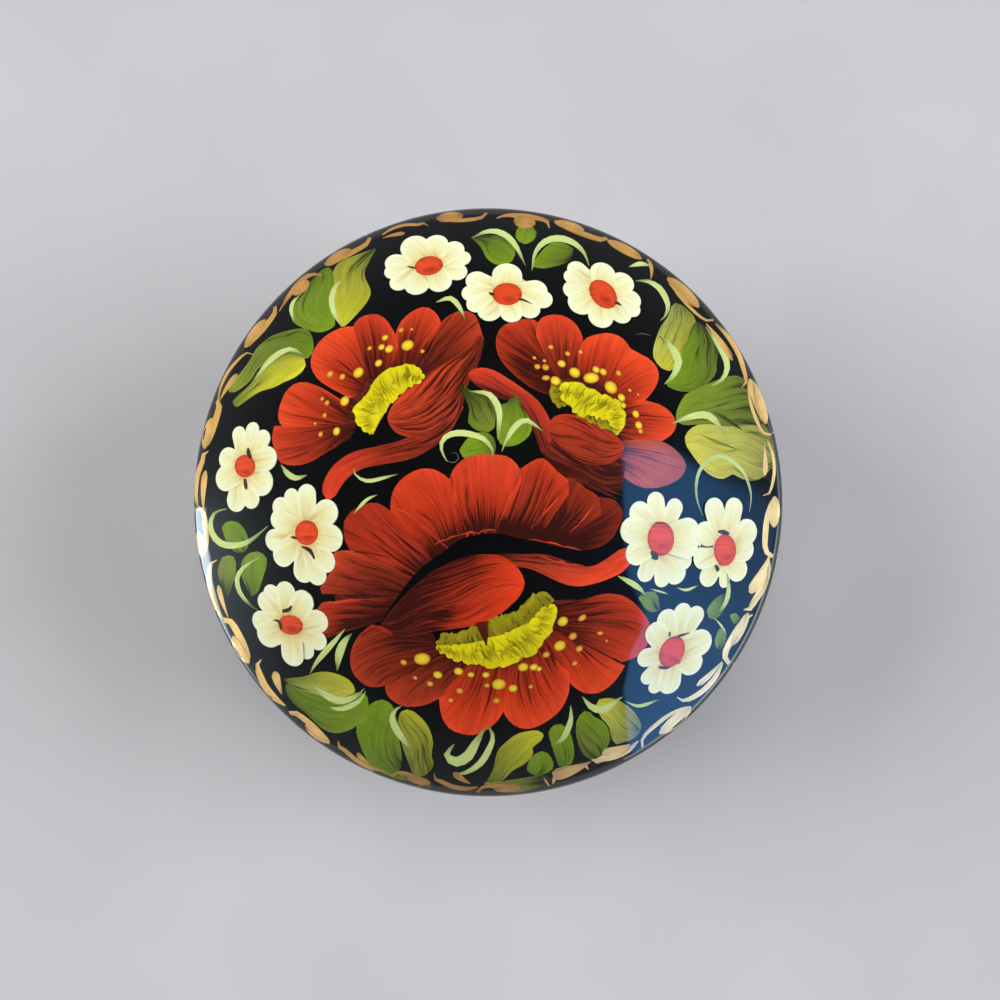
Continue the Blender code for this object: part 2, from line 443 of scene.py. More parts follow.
def on_dome(plan, height):
    """Points on the dome, in metres, that the photograph's camera sees at these places of the rim's plane."""
    plan = np.array(plan, float)
    reach = np.hypot(plan[..., 0], plan[..., 1])
    plan = plan * np.minimum(1.0, PAINT_LIMIT / np.maximum(reach, 0.001))[..., None]
    level = np.full(plan.shape[:-1], RIM_HEIGHT)
    for _ in range(SETTLE_PASSES):
        nearer = (EYE[2] - level) / (EYE[2] - RIM_HEIGHT)
        hit = EYE[:2] + (plan - EYE[:2]) * nearer[..., None]
        radius = np.hypot(hit[..., 0], hit[..., 1])
        level, outwards, upwards = surface(radius)
    away = hit / np.maximum(radius, 1e-6)[..., None]
    out = np.dstack([away * outwards[..., None], upwards])
    raised = np.dstack([hit, level]) + out * np.asarray(height)[..., None]
    return raised * MM, out


def refined(grid, parts):
    """A grid of points with more points between them, for finding what lies under a stroke."""
    rows = np.linspace(0, grid.shape[0] - 1, (grid.shape[0] - 1) * parts + 1)
    low = np.minimum(rows.astype(int), grid.shape[0] - 2)
    part = (rows - low)[:, None, None]
    grid = grid[low] * (1 - part) + grid[low + 1] * part
    columns = np.linspace(0, grid.shape[1] - 1, (grid.shape[1] - 1) * parts + 1)
    low = np.minimum(columns.astype(int), grid.shape[1] - 2)
    part = (columns - low)[None, :, None]
    return grid[:, low] * (1 - part) + grid[:, low + 1] * part


class Paint:
    """One painted piece: strokes of one kind, each a thin closed skin on the dome."""

    def __init__(self, name, material):
        self.name = name
        self.material = material
        self.points = []
        self.normals = []
        self.faces = []
        self.tints = []
        self.grains = []
        self.count = 0

    def lay(self, grid, tint, along, across):
        """Lays one stroke. grid holds rows of plan points, tint the colour and the thinness at each, and
        along and across where each is in the grain of the brush."""
        global stroke_count
        stroke_count += 1
        ahead = grid[1:, 1:] - grid[:-1, :-1]
        over = grid[:-1, 1:] - grid[1:, :-1]
        facing = ahead[..., 0] * over[..., 1] - ahead[..., 1] * over[..., 0]
        if facing.sum() < 0:
            grid, tint, along, across = grid[::-1], tint[::-1], along[::-1], across[::-1]
        cells = np.rint((refined(grid, MAP_PARTS) + LID_RADIUS + MAP_EDGE) / CELL).astype(int)
        cells = np.clip(cells, 0, len(paint_top) - 1).reshape(-1, 2)
        height = max(FIRST_LAYER, paint_top[cells[:, 0], cells[:, 1]].max() + LAYER)
        paint_top[cells[:, 0], cells[:, 1]] = height
        rows, columns = grid.shape[:2]
        top, out = on_dome(grid, np.full((rows, columns), height))
        bottom, _ = on_dome(grid, np.full((rows, columns), -PAINT_DEPTH))
        seed = np.full((rows, columns), stroke_count * GRAIN_SHIFT)
        grain = np.dstack([along, across, seed]).reshape(-1, 3)
        self.points += [top.reshape(-1, 3), bottom.reshape(-1, 3)]
        self.normals += [out.reshape(-1, 3), -out.reshape(-1, 3)]
        self.tints += [tint.reshape(-1, 4)] * 2
        self.grains += [grain] * 2
        first = self.count
        under = rows * columns
        number = np.arange(under).reshape(rows, columns) + first
        for i in range(rows - 1):
            for j in range(columns - 1):
                quad = [number[i, j], number[i + 1, j], number[i + 1, j + 1], number[i, j + 1]]
                self.faces.append(quad)
                self.faces.append([v + under for v in reversed(quad)])
        rim = [*number[:, 0], *number[-1, 1:], *number[-2::-1, -1], *number[0, -2:0:-1]]
        for a, b in zip(rim, rim[1:] + rim[:1]):
            self.faces.append([b, a, a + under, b + under])
        self.count += 2 * under

    def make(self):
        """Makes the piece's object. The clear coat over it follows the dome."""
        mesh = bpy.data.meshes.new(self.name)
        mesh.from_pydata(np.vstack(self.points).tolist(), [], [[int(v) for v in f] for f in self.faces])
        tint = mesh.attributes.new("tint", "FLOAT_COLOR", "POINT")
        tint.data.foreach_set("color", np.vstack(self.tints).ravel())
        grain = mesh.attributes.new("grain", "FLOAT_VECTOR", "POINT")
        grain.data.foreach_set("vector", np.vstack(self.grains).ravel())
        mesh.materials.append(self.material)
        mesh.shade_smooth()
        normals = np.vstack(self.normals)
        corner = np.empty(len(mesh.loops), int)
        mesh.loops.foreach_get("vertex_index", corner)
        mesh.normals_split_custom_set(normals[corner].tolist())
        obj = bpy.data.objects.new(self.name, mesh)
        bpy.context.scene.collection.objects.link(obj)
        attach(obj, "lid")
        return obj


def smooth_line(points, count, start=0.0, end=1.0):
    """Evenly spaced points on the smooth line through the given ones, and its length. Points may carry
    more than two numbers, such as a width."""
    held = np.array(points, float)
    if len(held) > 2:
        ends = np.vstack([2 * held[0] - held[1], held, 2 * held[-1] - held[-2]])
        part = np.linspace(0, 1, SMOOTH_STEPS, endpoint=False)[:, None]
        dense = []
        for a, b, c, d in zip(ends, ends[1:], ends[2:], ends[3:]):
            bend = (2 * a - 5 * b + 4 * c - d) * part**2 + (3 * b - a - 3 * c + d) * part**3
            dense.append(0.5 * (2 * b + (c - a) * part + bend))
        dense = np.vstack([*dense, held[-1:]])
    else:
        dense = held
    run = np.concatenate([[0], np.cumsum(np.hypot(*np.diff(dense[:, :2], axis=0).T))])
    where = np.linspace(start, end, count) * run[-1]
    return np.column_stack([np.interp(where, run, dense[:, i]) for i in range(dense.shape[1])]), run[-1]


def length_of(points):
    return smooth_line(points, 2)[1]


def steps_for(length, least):
    return max(least, int(math.ceil(length / STROKE_STEP)) + 1)


def shades(stops, where):
    """Colours and thinness along a stroke, from stops of (where, colour, thinness)."""
    places = [s[0] for s in stops]
    colours = np.array([linear(*s[1]) for s in stops])
    thin = [s[2] for s in stops]
    columns = [np.interp(where, places, colours[:, i]) for i in range(3)]
    return np.stack([*columns, np.interp(where, places, thin)], axis=-1)


def side_mix(first, second, where):
    """Shades that go over from one side of a stroke to the other."""
    return first[:, None, :] * (1 - where)[None, :, None] + second[:, None, :] * where[None, :, None]


def petal(paint, edge, base, tone, side=(1.0, 1.0), gather=0.10, bow=0.0):
    """A petal laid in strokes from its outer edge to its base, which is a point or a line that runs the
    same way as the edge. side darkens its first and last side, and bow bends its strokes, in millimetres."""
    edge_length = length_of(edge)
    columns = steps_for(edge_length, 5)
    outer, _ = smooth_line(edge, columns)
    if isinstance(base, tuple):
        reach = (np.array(edge[-1]) - np.array(edge[0])) * gather / 2
        base = [base - reach, base + reach]
    inner, _ = smooth_line(base, columns)
    long = np.hypot(*(outer - inner).T).mean()
    rows = steps_for(long, 4)
    t = np.linspace(0, 1, rows)
    grid = inner[None] * (1 - t)[:, None, None] + outer[None] * t[:, None, None]
    s = np.linspace(0, 1, columns)
    tint = side_mix(shades(tone, t), shades(tone, t), s)
    factor = side[0] * (1 - s) + side[1] * s
    tint[..., :3] *= factor[None, :, None]
    tint[..., 3] = np.clip(tint[..., 3] + 0.5 * (1 - factor)[None, :], 0, 1)
    along = np.broadcast_to((t * long)[:, None], grid.shape[:2])
    local = np.hypot(*(grid[:, -1] - grid[:, 0]).T)[:, None]
    across = (s - 0.5)[None, :] * (0.5 * edge_length + 0.5 * local) + bow * np.sin(np.pi * t)[:, None]
    paint.lay(grid, tint, along, across)


def band(paint, first, second, tone, other=None, ends=(0.0, 1.0)):
    """A broad stroke between two edges that run the same way. Its shades run along it, and go over from
    the first edge's to the second's."""
    long = max(length_of(first), length_of(second))
    rows = steps_for(long, 4)
    a, _ = smooth_line(first, rows, *ends)
    b, _ = smooth_line(second, rows, *ends)
    wide = np.hypot(*(a - b).T).max()
    columns = steps_for(wide, 4)
    s = np.linspace(0, 1, columns)
    grid = a[:, None] * (1 - s)[None, :, None] + b[:, None] * s[None, :, None]
    t = np.linspace(0, 1, rows)
    tint = side_mix(shades(tone, t), shades(other or tone, t), s)
    along = np.broadcast_to((t * long)[:, None], grid.shape[:2])
    across = np.broadcast_to((s * wide)[None, :], grid.shape[:2])
    paint.lay(grid, tint, along, across)


def leaf(paint, outline, tip, tone, other):
    """A leaf from its closed outline, which starts at its base and has its tip at the given point."""
    first = outline[: tip + 1]
    second = [outline[0], *reversed(outline[tip:])]
    band(paint, first, second, tone, other, ends=(0.02, 0.98))


def comma(paint, line, width, tone):
    """One stroke of a pointed brush: thin where it starts and ends, and fullest between."""
    rows = steps_for(length_of(line), LEAST_ROWS)
    middle, _ = smooth_line(line, rows)
    t = np.linspace(0, 1, rows)
    wide = width * (COMMA_ENDS + (1 - COMMA_ENDS) * np.sin(np.pi * t) ** COMMA_SWELL)
    ribbon(paint, middle, wide, tone)


def curl(paint, line, tone):
    """A stroke whose line gives its width at each point: (x, y, width)."""
    held, _ = smooth_line(line, steps_for(length_of(line), LEAST_ROWS))
    ribbon(paint, held[:, :2], np.maximum(held[:, 2], LEAST_WIDTH), tone)


def ribbon(paint, middle, wide, tone):
    """A stroke of varying width along a line of points."""
    ahead = np.gradient(middle, axis=0)
    ahead /= np.maximum(np.hypot(*ahead.T), 1e-6)[:, None]
    side = np.column_stack([-ahead[:, 1], ahead[:, 0]])
    s = np.linspace(-0.5, 0.5, 4 if wide.max() < BROAD_WIDTH else 5)
    grid = middle[:, None] + side[:, None] * (wide[:, None] * s[None])[..., None]
    t = np.linspace(0, 1, len(middle))
    tint = side_mix(shades(tone, t), shades(tone, t), s + 0.5)
    run = np.concatenate([[0], np.cumsum(np.hypot(*np.diff(middle, axis=0).T))])
    along = np.broadcast_to(run[:, None], grid.shape[:2])
    across = wide[:, None] * s[None]
    paint.lay(grid, tint, along, across)


def squeeze_at(x, y):
    """The way from the axis, and how much the slope of the dome narrows a shape along it, seen from above."""
    reach = math.hypot(x, y)
    away = np.array([x, y]) / reach if reach > MIDDLE_REACH else np.array([1.0, 0.0])
    return away, 1 - RIM_SQUEEZE * reach / LID_RADIUS


def dot(paint, x, y, size, tone, shape, tilt):
    """A dab of the brush, round or longer one way. Its tone goes from the middle out."""
    s = np.linspace(-1, 1, 5 if size < BROAD_DOT else 7)
    u, v = np.meshgrid(s, s, indexing="ij")
    disc = np.dstack([u * np.sqrt(1 - v**2 / 2), v * np.sqrt(1 - u**2 / 2)])
    grid = disc * size
    grid[..., 1] *= shape
    turn = math.radians(tilt)
    grid = grid @ np.array([[math.cos(turn), math.sin(turn)], [-math.sin(turn), math.cos(turn)]])
    tint = shades(tone, np.hypot(disc[..., 0], disc[..., 1]))
    paint.lay(grid + (x, y), tint, grid[..., 0], grid[..., 1])


# A daisy petal's root, as a share of the way to its tip, its width there and how much larger it is laid,
# and how strongly its rim takes the tone of its tip
ROOT_START = 0.12
ROOT_WIDTH = 0.9
PETAL_GROWTH = 1.06
RIM_SHARE = 0.85


def daisy_petal(paint, centre, place_of, size, tone):
    """One petal: a rounded press of the brush, drawn in towards the middle of the flower."""
    tip = np.array(place_of, float)
    away, narrow = squeeze_at(*tip)
    narrow = 0.35 + 0.65 * narrow
    size *= PETAL_GROWTH
    widen = np.eye(2) + np.multiply.outer(away, away) * (1 / narrow - 1)
    back = np.eye(2) + np.multiply.outer(away, away) * (narrow - 1)
    root = widen @ (np.array(centre, float) - tip)
    reach = np.hypot(*root)
    ahead = -root / reach
    side = np.array([-ahead[1], ahead[0]])
    straight = np.linspace(ROOT_START, 1.0, 5)[:-1]
    round_end = np.radians(np.linspace(90, 8, 7))
    run = np.concatenate([straight * reach - reach, size * np.cos(round_end)])
    fade = np.clip((straight - ROOT_START) / (1 - ROOT_START), 0, 1)
    root_wide = size * (ROOT_WIDTH + (1 - ROOT_WIDTH) * np.sin(fade * np.pi / 2))
    wide = np.concatenate([root_wide, size * np.sin(round_end)])
    s = np.linspace(-1, 1, 6)
    flat = ahead[None, None] * run[:, None, None] + side[None, None] * (wide[:, None] * s[None])[..., None]
    grid = flat @ back.T + tip
    t = (run - run[0]) / (run[-1] - run[0])
    tint = side_mix(shades(tone, t), shades(tone, t), (s + 1) / 2)
    rim = (RIM_SHARE * np.abs(s) ** 3)[None, :, None] * np.clip((t - 0.15) / 0.3, 0, 1)[:, None, None]
    tint = tint * (1 - rim) + tint[-1:] * rim
    along = np.broadcast_to(run[:, None], grid.shape[:2])
    across = np.broadcast_to((s * size)[None], grid.shape[:2])
    paint.lay(grid, tint, along, across)


# The materials of this box

lid_black = lacquer("lid_black_lacquer", linear(8, 9, 10), linear(13, 13, 12), 0.03)
wall_black = lacquer("wall_black_lacquer", linear(11, 9, 9), linear(19, 15, 13), 0.05)
inside_red = lacquer("inside_red_lacquer", linear(150, 26, 20), linear(122, 18, 15), 0.16)
collar_red = lacquer("collar_red_lacquer", linear(158, 30, 22), linear(120, 18, 15), 0.14)
floor_wood = turned_wood("floor_limewood", linear(206, 172, 128), linear(168, 126, 84))
lining_red = felt("lining_red_felt", linear(150, 34, 40), linear(88, 14, 20))
pad_black = felt("pad_black_felt", linear(44, 42, 44), linear(18, 17, 19))

petal_paint = brushed("red_petal_paint", linear(56, 19, 14), 1.9, 0.9, hair=0.5)
leaf_paint = brushed("green_leaf_paint", linear(34, 42, 14), 1.6, 0.85, hair=0.24)
daisy_paint = brushed("cream_daisy_paint", linear(212, 186, 118), 1.5, 0.35, 0.03, hair=0.1)
heart_paint = brushed("orange_heart_paint", linear(120, 40, 20), 1.6, 0.8, 0.03, hair=0.2)
yellow_paint = brushed("yellow_stamen_paint", linear(150, 134, 20), 2.4, 0.6, 0.03, hair=0.22)
dot_paint = brushed("yellow_dot_paint", linear(196, 116, 28), 1.4, 0.5, 0.03)
pale_paint = brushed("pale_highlight_paint", linear(104, 124, 62), 2.2, 0.4, hair=0.25)
black_paint = brushed("black_gap_paint", linear(8, 9, 10), 1.6, 0.5, 0.006)
gold_paint = brushed("gold_border_paint", linear(128, 98, 54), 1.3, 0.9, 0.02, 0.04, (0.30, 0.46), hair=0.2)

# Tones: where along the stroke, the colour that shows there, and how thin the paint is

RED = [(0, (118, 38, 18), 0.5), (0.22, (160, 49, 23), 0.38), (0.5, (194, 57, 27), 0.24),
       (0.8, (227, 71, 34), 0.08), (1, (239, 80, 40), 0.0)]
MID_RED = [(0, (98, 32, 17), 0.5), (0.3, (138, 43, 22), 0.42), (0.65, (175, 54, 27), 0.28),
           (0.9, (204, 63, 32), 0.1), (1, (218, 69, 37), 0.0)]
DEEP_RED = [(0, (88, 30, 16), 0.5), (0.35, (118, 39, 21), 0.46), (0.7, (147, 48, 26), 0.34),
            (0.92, (166, 55, 29), 0.22), (1, (187, 60, 33), 0.1)]
FAN_RED = [(0, (120, 39, 21), 0.4), (0.05, (74, 26, 15), 0.75), (0.18, (112, 37, 20), 0.58),
           (0.36, (176, 51, 24), 0.32), (0.6, (204, 58, 28), 0.14), (1, (224, 68, 34), 0.0)]
FAN_EVEN = [(0, (106, 35, 20), 0.45), (0.05, (80, 28, 16), 0.7), (0.2, (140, 43, 25), 0.45),
            (0.4, (184, 53, 30), 0.28), (0.7, (186, 54, 29), 0.24), (1, (178, 52, 28), 0.15)]
FAN_MID = [(0, (92, 31, 17), 0.5), (0.08, (70, 24, 14), 0.75), (0.3, (146, 47, 26), 0.42),
           (0.6, (170, 51, 26), 0.3), (0.85, (193, 55, 26), 0.16), (1, (218, 65, 32), 0.05)]
FAN_DEEP = [(0, (81, 27, 13), 0.6), (0.08, (52, 19, 10), 0.8), (0.3, (85, 29, 16), 0.6),
            (0.65, (117, 38, 18), 0.42), (1, (148, 46, 22), 0.15)]
BOWL_RED = [(0, (158, 52, 25), 0.38), (0.3, (182, 55, 26), 0.3), (0.6, (213, 62, 27), 0.24),
            (1, (247, 78, 37), 0.0)]
LONG_RED = [(0, (215, 70, 37), 0.2), (0.5, (200, 66, 35), 0.4), (1, (170, 59, 33), 0.5)]
LONG_DEEP = [(0, (178, 60, 33), 0.35), (0.5, (152, 53, 30), 0.5), (1, (124, 45, 27), 0.58)]
GROUND = [(0, (88, 34, 24), 0.5), (0.5, (109, 40, 28), 0.4), (1, (122, 44, 30), 0.4)]
EDGE_RED = [(0, (168, 54, 28), 0.4), (0.5, (212, 69, 38), 0.1), (1, (176, 56, 29), 0.35)]
CREASE_RED = [(0, (158, 53, 33), 0.5), (0.5, (206, 64, 37), 0.3), (1, (216, 67, 39), 0.3)]
# Red petal paint with the bluish cast of the right window's reflection painted into it: painted reflection
RED_WITH_PAINTED_REFLECTION = [(0, (112, 50, 50), 0.5), (0.35, (172, 78, 66), 0.3), (0.7, (186, 90, 76), 0.16),
             (1, (168, 84, 78), 0.1)]
NOTCH = [(0, (96, 34, 20), 0.2), (1, (74, 28, 18), 0.3)]

# Leaves go from a light end to a dark one, and highlights thin out at both ends
GREEN = [(0, (128, 152, 37), 0.0), (0.5, (116, 139, 35), 0.15), (1, (83, 95, 31), 0.5)]
DEEP_GREEN = [(0, (112, 138, 36), 0.1), (0.5, (96, 112, 32), 0.3), (1, (62, 66, 24), 0.7)]
LIT_GREEN = [(0, (112, 140, 30), 0.05), (0.35, (104, 124, 36), 0.2), (0.65, (112, 126, 44), 0.25),
             (0.9, (140, 148, 54), 0.2), (1, (132, 140, 48), 0.4)]
LIT_YELLOW = [(0, (224, 218, 46), 0.0), (0.5, (212, 208, 48), 0.05), (1, (142, 152, 46), 0.3)]
LIT_OLIVE = [(0, (150, 154, 52), 0.15), (0.5, (140, 146, 52), 0.3), (1, (122, 132, 48), 0.45)]
YELLOW_GREEN = [(0, (198, 194, 46), 0.0), (0.4, (172, 172, 48), 0.1), (1, (112, 120, 42), 0.5)]
OLIVE = [(0, (128, 136, 50), 0.15), (0.5, (108, 116, 44), 0.35), (1, (72, 74, 30), 0.65)]
LIGHT_MIST = [(0, (210, 206, 84), 0.0), (0.5, (196, 196, 92), 0.1), (0.8, (158, 158, 84), 0.3),
              (1, (120, 124, 66), 0.5)]
MIST = [(0, (204, 200, 78), 0.0), (0.5, (174, 176, 84), 0.2), (1, (122, 130, 66), 0.45)]
BRIGHT_GREEN = [(0, (118, 150, 22), 0.0), (0.6, (112, 142, 24), 0.1), (1, (96, 122, 26), 0.3)]
PALE = [(0, (170, 188, 112), 0.5), (0.3, (208, 224, 142), 0.05), (0.7, (204, 220, 136), 0.1),
        (1, (150, 170, 96), 0.6)]
FAINT = [(0, (140, 168, 138), 0.3), (0.3, (188, 210, 140), 0.1), (0.7, (196, 216, 150), 0.1),
         (1, (132, 158, 130), 0.4)]
HAIRLINE = [(0, (96, 100, 84), 0.3), (1, (96, 100, 84), 0.3)]
CREAM = [(0, (220, 184, 114), 0.3), (0.3, (236, 220, 150), 0.25), (0.6, (240, 237, 177), 0.15),
         (0.85, (244, 246, 201), 0.05), (1, (247, 251, 216), 0.0)]
CREAM_BED = [(0, (150, 128, 80), 0.3), (0.6, (206, 176, 112), 0.3), (1, (236, 222, 164), 0.2)]
HEART = [(0, (232, 78, 40), 0.0), (0.75, (226, 76, 38), 0.1), (1, (206, 68, 33), 0.3)]
LOW_HEART = [(0, (186, 58, 30), 0.2), (0.6, (204, 65, 33), 0.2), (1, (224, 76, 38), 0.1)]
TICK = [(0, (66, 52, 34), 0.0), (1, (66, 52, 34), 0.0)]
YELLOW = ((238, 224, 26), (204, 188, 22))
DIM_YELLOW = ((170, 158, 30), (122, 112, 24))
BRIGHT_DOT = [(0, (246, 226, 66), 0.0), (0.6, (238, 210, 50), 0.0), (0.85, (220, 170, 46), 0.1),
              (1, (178, 116, 36), 0.2)]
WARM_DOT = [(0, (240, 196, 70), 0.1), (0.6, (228, 166, 56), 0.15), (1, (178, 92, 36), 0.3)]
GAP = [(0, (9, 9, 10), 0.0), (1, (9, 9, 10), 0.0)]

# The tones of single strokes: long petals, folds, the ribbon, leaf tails and veins
TAIL_RED = [(0, (222, 68, 36), 0.0), (0.2, (206, 62, 34), 0.1), (0.5, (158, 51, 30), 0.35),
            (1, (134, 46, 28), 0.4)]
FRAY_RED = DEEP_RED[:2]
UNDER_RED = [(0, (150, 51, 28), 0.4), (1, (116, 42, 25), 0.5)]
UNDER_DEEP = [(0, (116, 40, 24), 0.5), (1, (86, 32, 21), 0.6)]
RIBBON_RED = [(0, (214, 64, 38), 0.0), (0.5, (216, 66, 40), 0.02), (1, (184, 54, 34), 0.15)]
RIBBON_DEEP = [(0, (176, 52, 32), 0.15), (0.35, (88, 32, 22), 0.6), (1, (118, 40, 28), 0.45)]
LIP_RED = [(0, (190, 60, 30), 0.1), (0.6, (178, 57, 29), 0.3), (1, (186, 60, 31), 0.25)]
LIP_DEEP = [(0, (140, 47, 26), 0.4), (0.6, (152, 51, 28), 0.4), (1, (190, 62, 33), 0.2)]
RUNNING_DEEP = [(0, (96, 34, 24), 0.6), (0.3, (132, 46, 31), 0.48), (0.55, (168, 57, 35), 0.3),
                (0.75, (218, 68, 40), 0.1), (1, (224, 68, 38), 0.05)]
RUNNING_RED = [(0, (156, 50, 29), 0.4), (0.35, (196, 66, 40), 0.2), (0.6, (238, 76, 42), 0.05),
               (1, (240, 74, 38), 0.0)]
FOLD_DEEP = [(0, (86, 29, 19), 0.6), (0.3, (104, 34, 22), 0.55), (0.45, (84, 29, 19), 0.62),
             (0.62, (124, 38, 24), 0.5), (0.8, (204, 58, 28), 0.22), (1, (238, 70, 32), 0.0)]
FOLD_RED = [(0, (126, 38, 24), 0.5), (0.14, (92, 31, 20), 0.58), (0.3, (112, 36, 22), 0.52),
            (0.42, (176, 52, 28), 0.34), (0.54, (206, 58, 29), 0.2), (0.75, (224, 63, 28), 0.1),
            (1, (238, 71, 32), 0.0)]
FOLD_END_RED = [(0, (150, 46, 26), 0.4), (0.4, (186, 52, 32), 0.2), (1, (140, 44, 26), 0.4)]
TAIL_GREEN = [(0, (84, 96, 40), 0.5), (0.5, (118, 122, 58), 0.4), (1, (104, 106, 52), 0.6)]
DARK_VEIN = [(0, (84, 92, 36), 0.3), (1, (62, 68, 30), 0.4)]
LIGHT_VEIN = [(0, (150, 146, 60), 0.3), (1, (110, 112, 52), 0.5)]


# Tails of leaves that run out under the gold border: the tone, and the line with its width at each point
TAILS = [
    (TAIL_GREEN, [(40.5, 15.2, 0.4), (43.6, 14, 3), (45.9, 11.6, 3.2), (47, 8.4, 2.2), (46.4, 4.2, 0.4)]),
    (OLIVE, [(-0.6, -47.6, 0.6), (3, -48, 2), (6.6, -47.6, 2.3), (9.4, -46.9, 1.8), (11.2, -46.9, 0.3)]),
    (GREEN, [(-22, -43, 0.4), (-19, -45.1, 2.4), (-15, -46.7, 2.6), (-11.6, -47.4, 2.2),
             (-9.2, -47.6, 0.3)]),
]
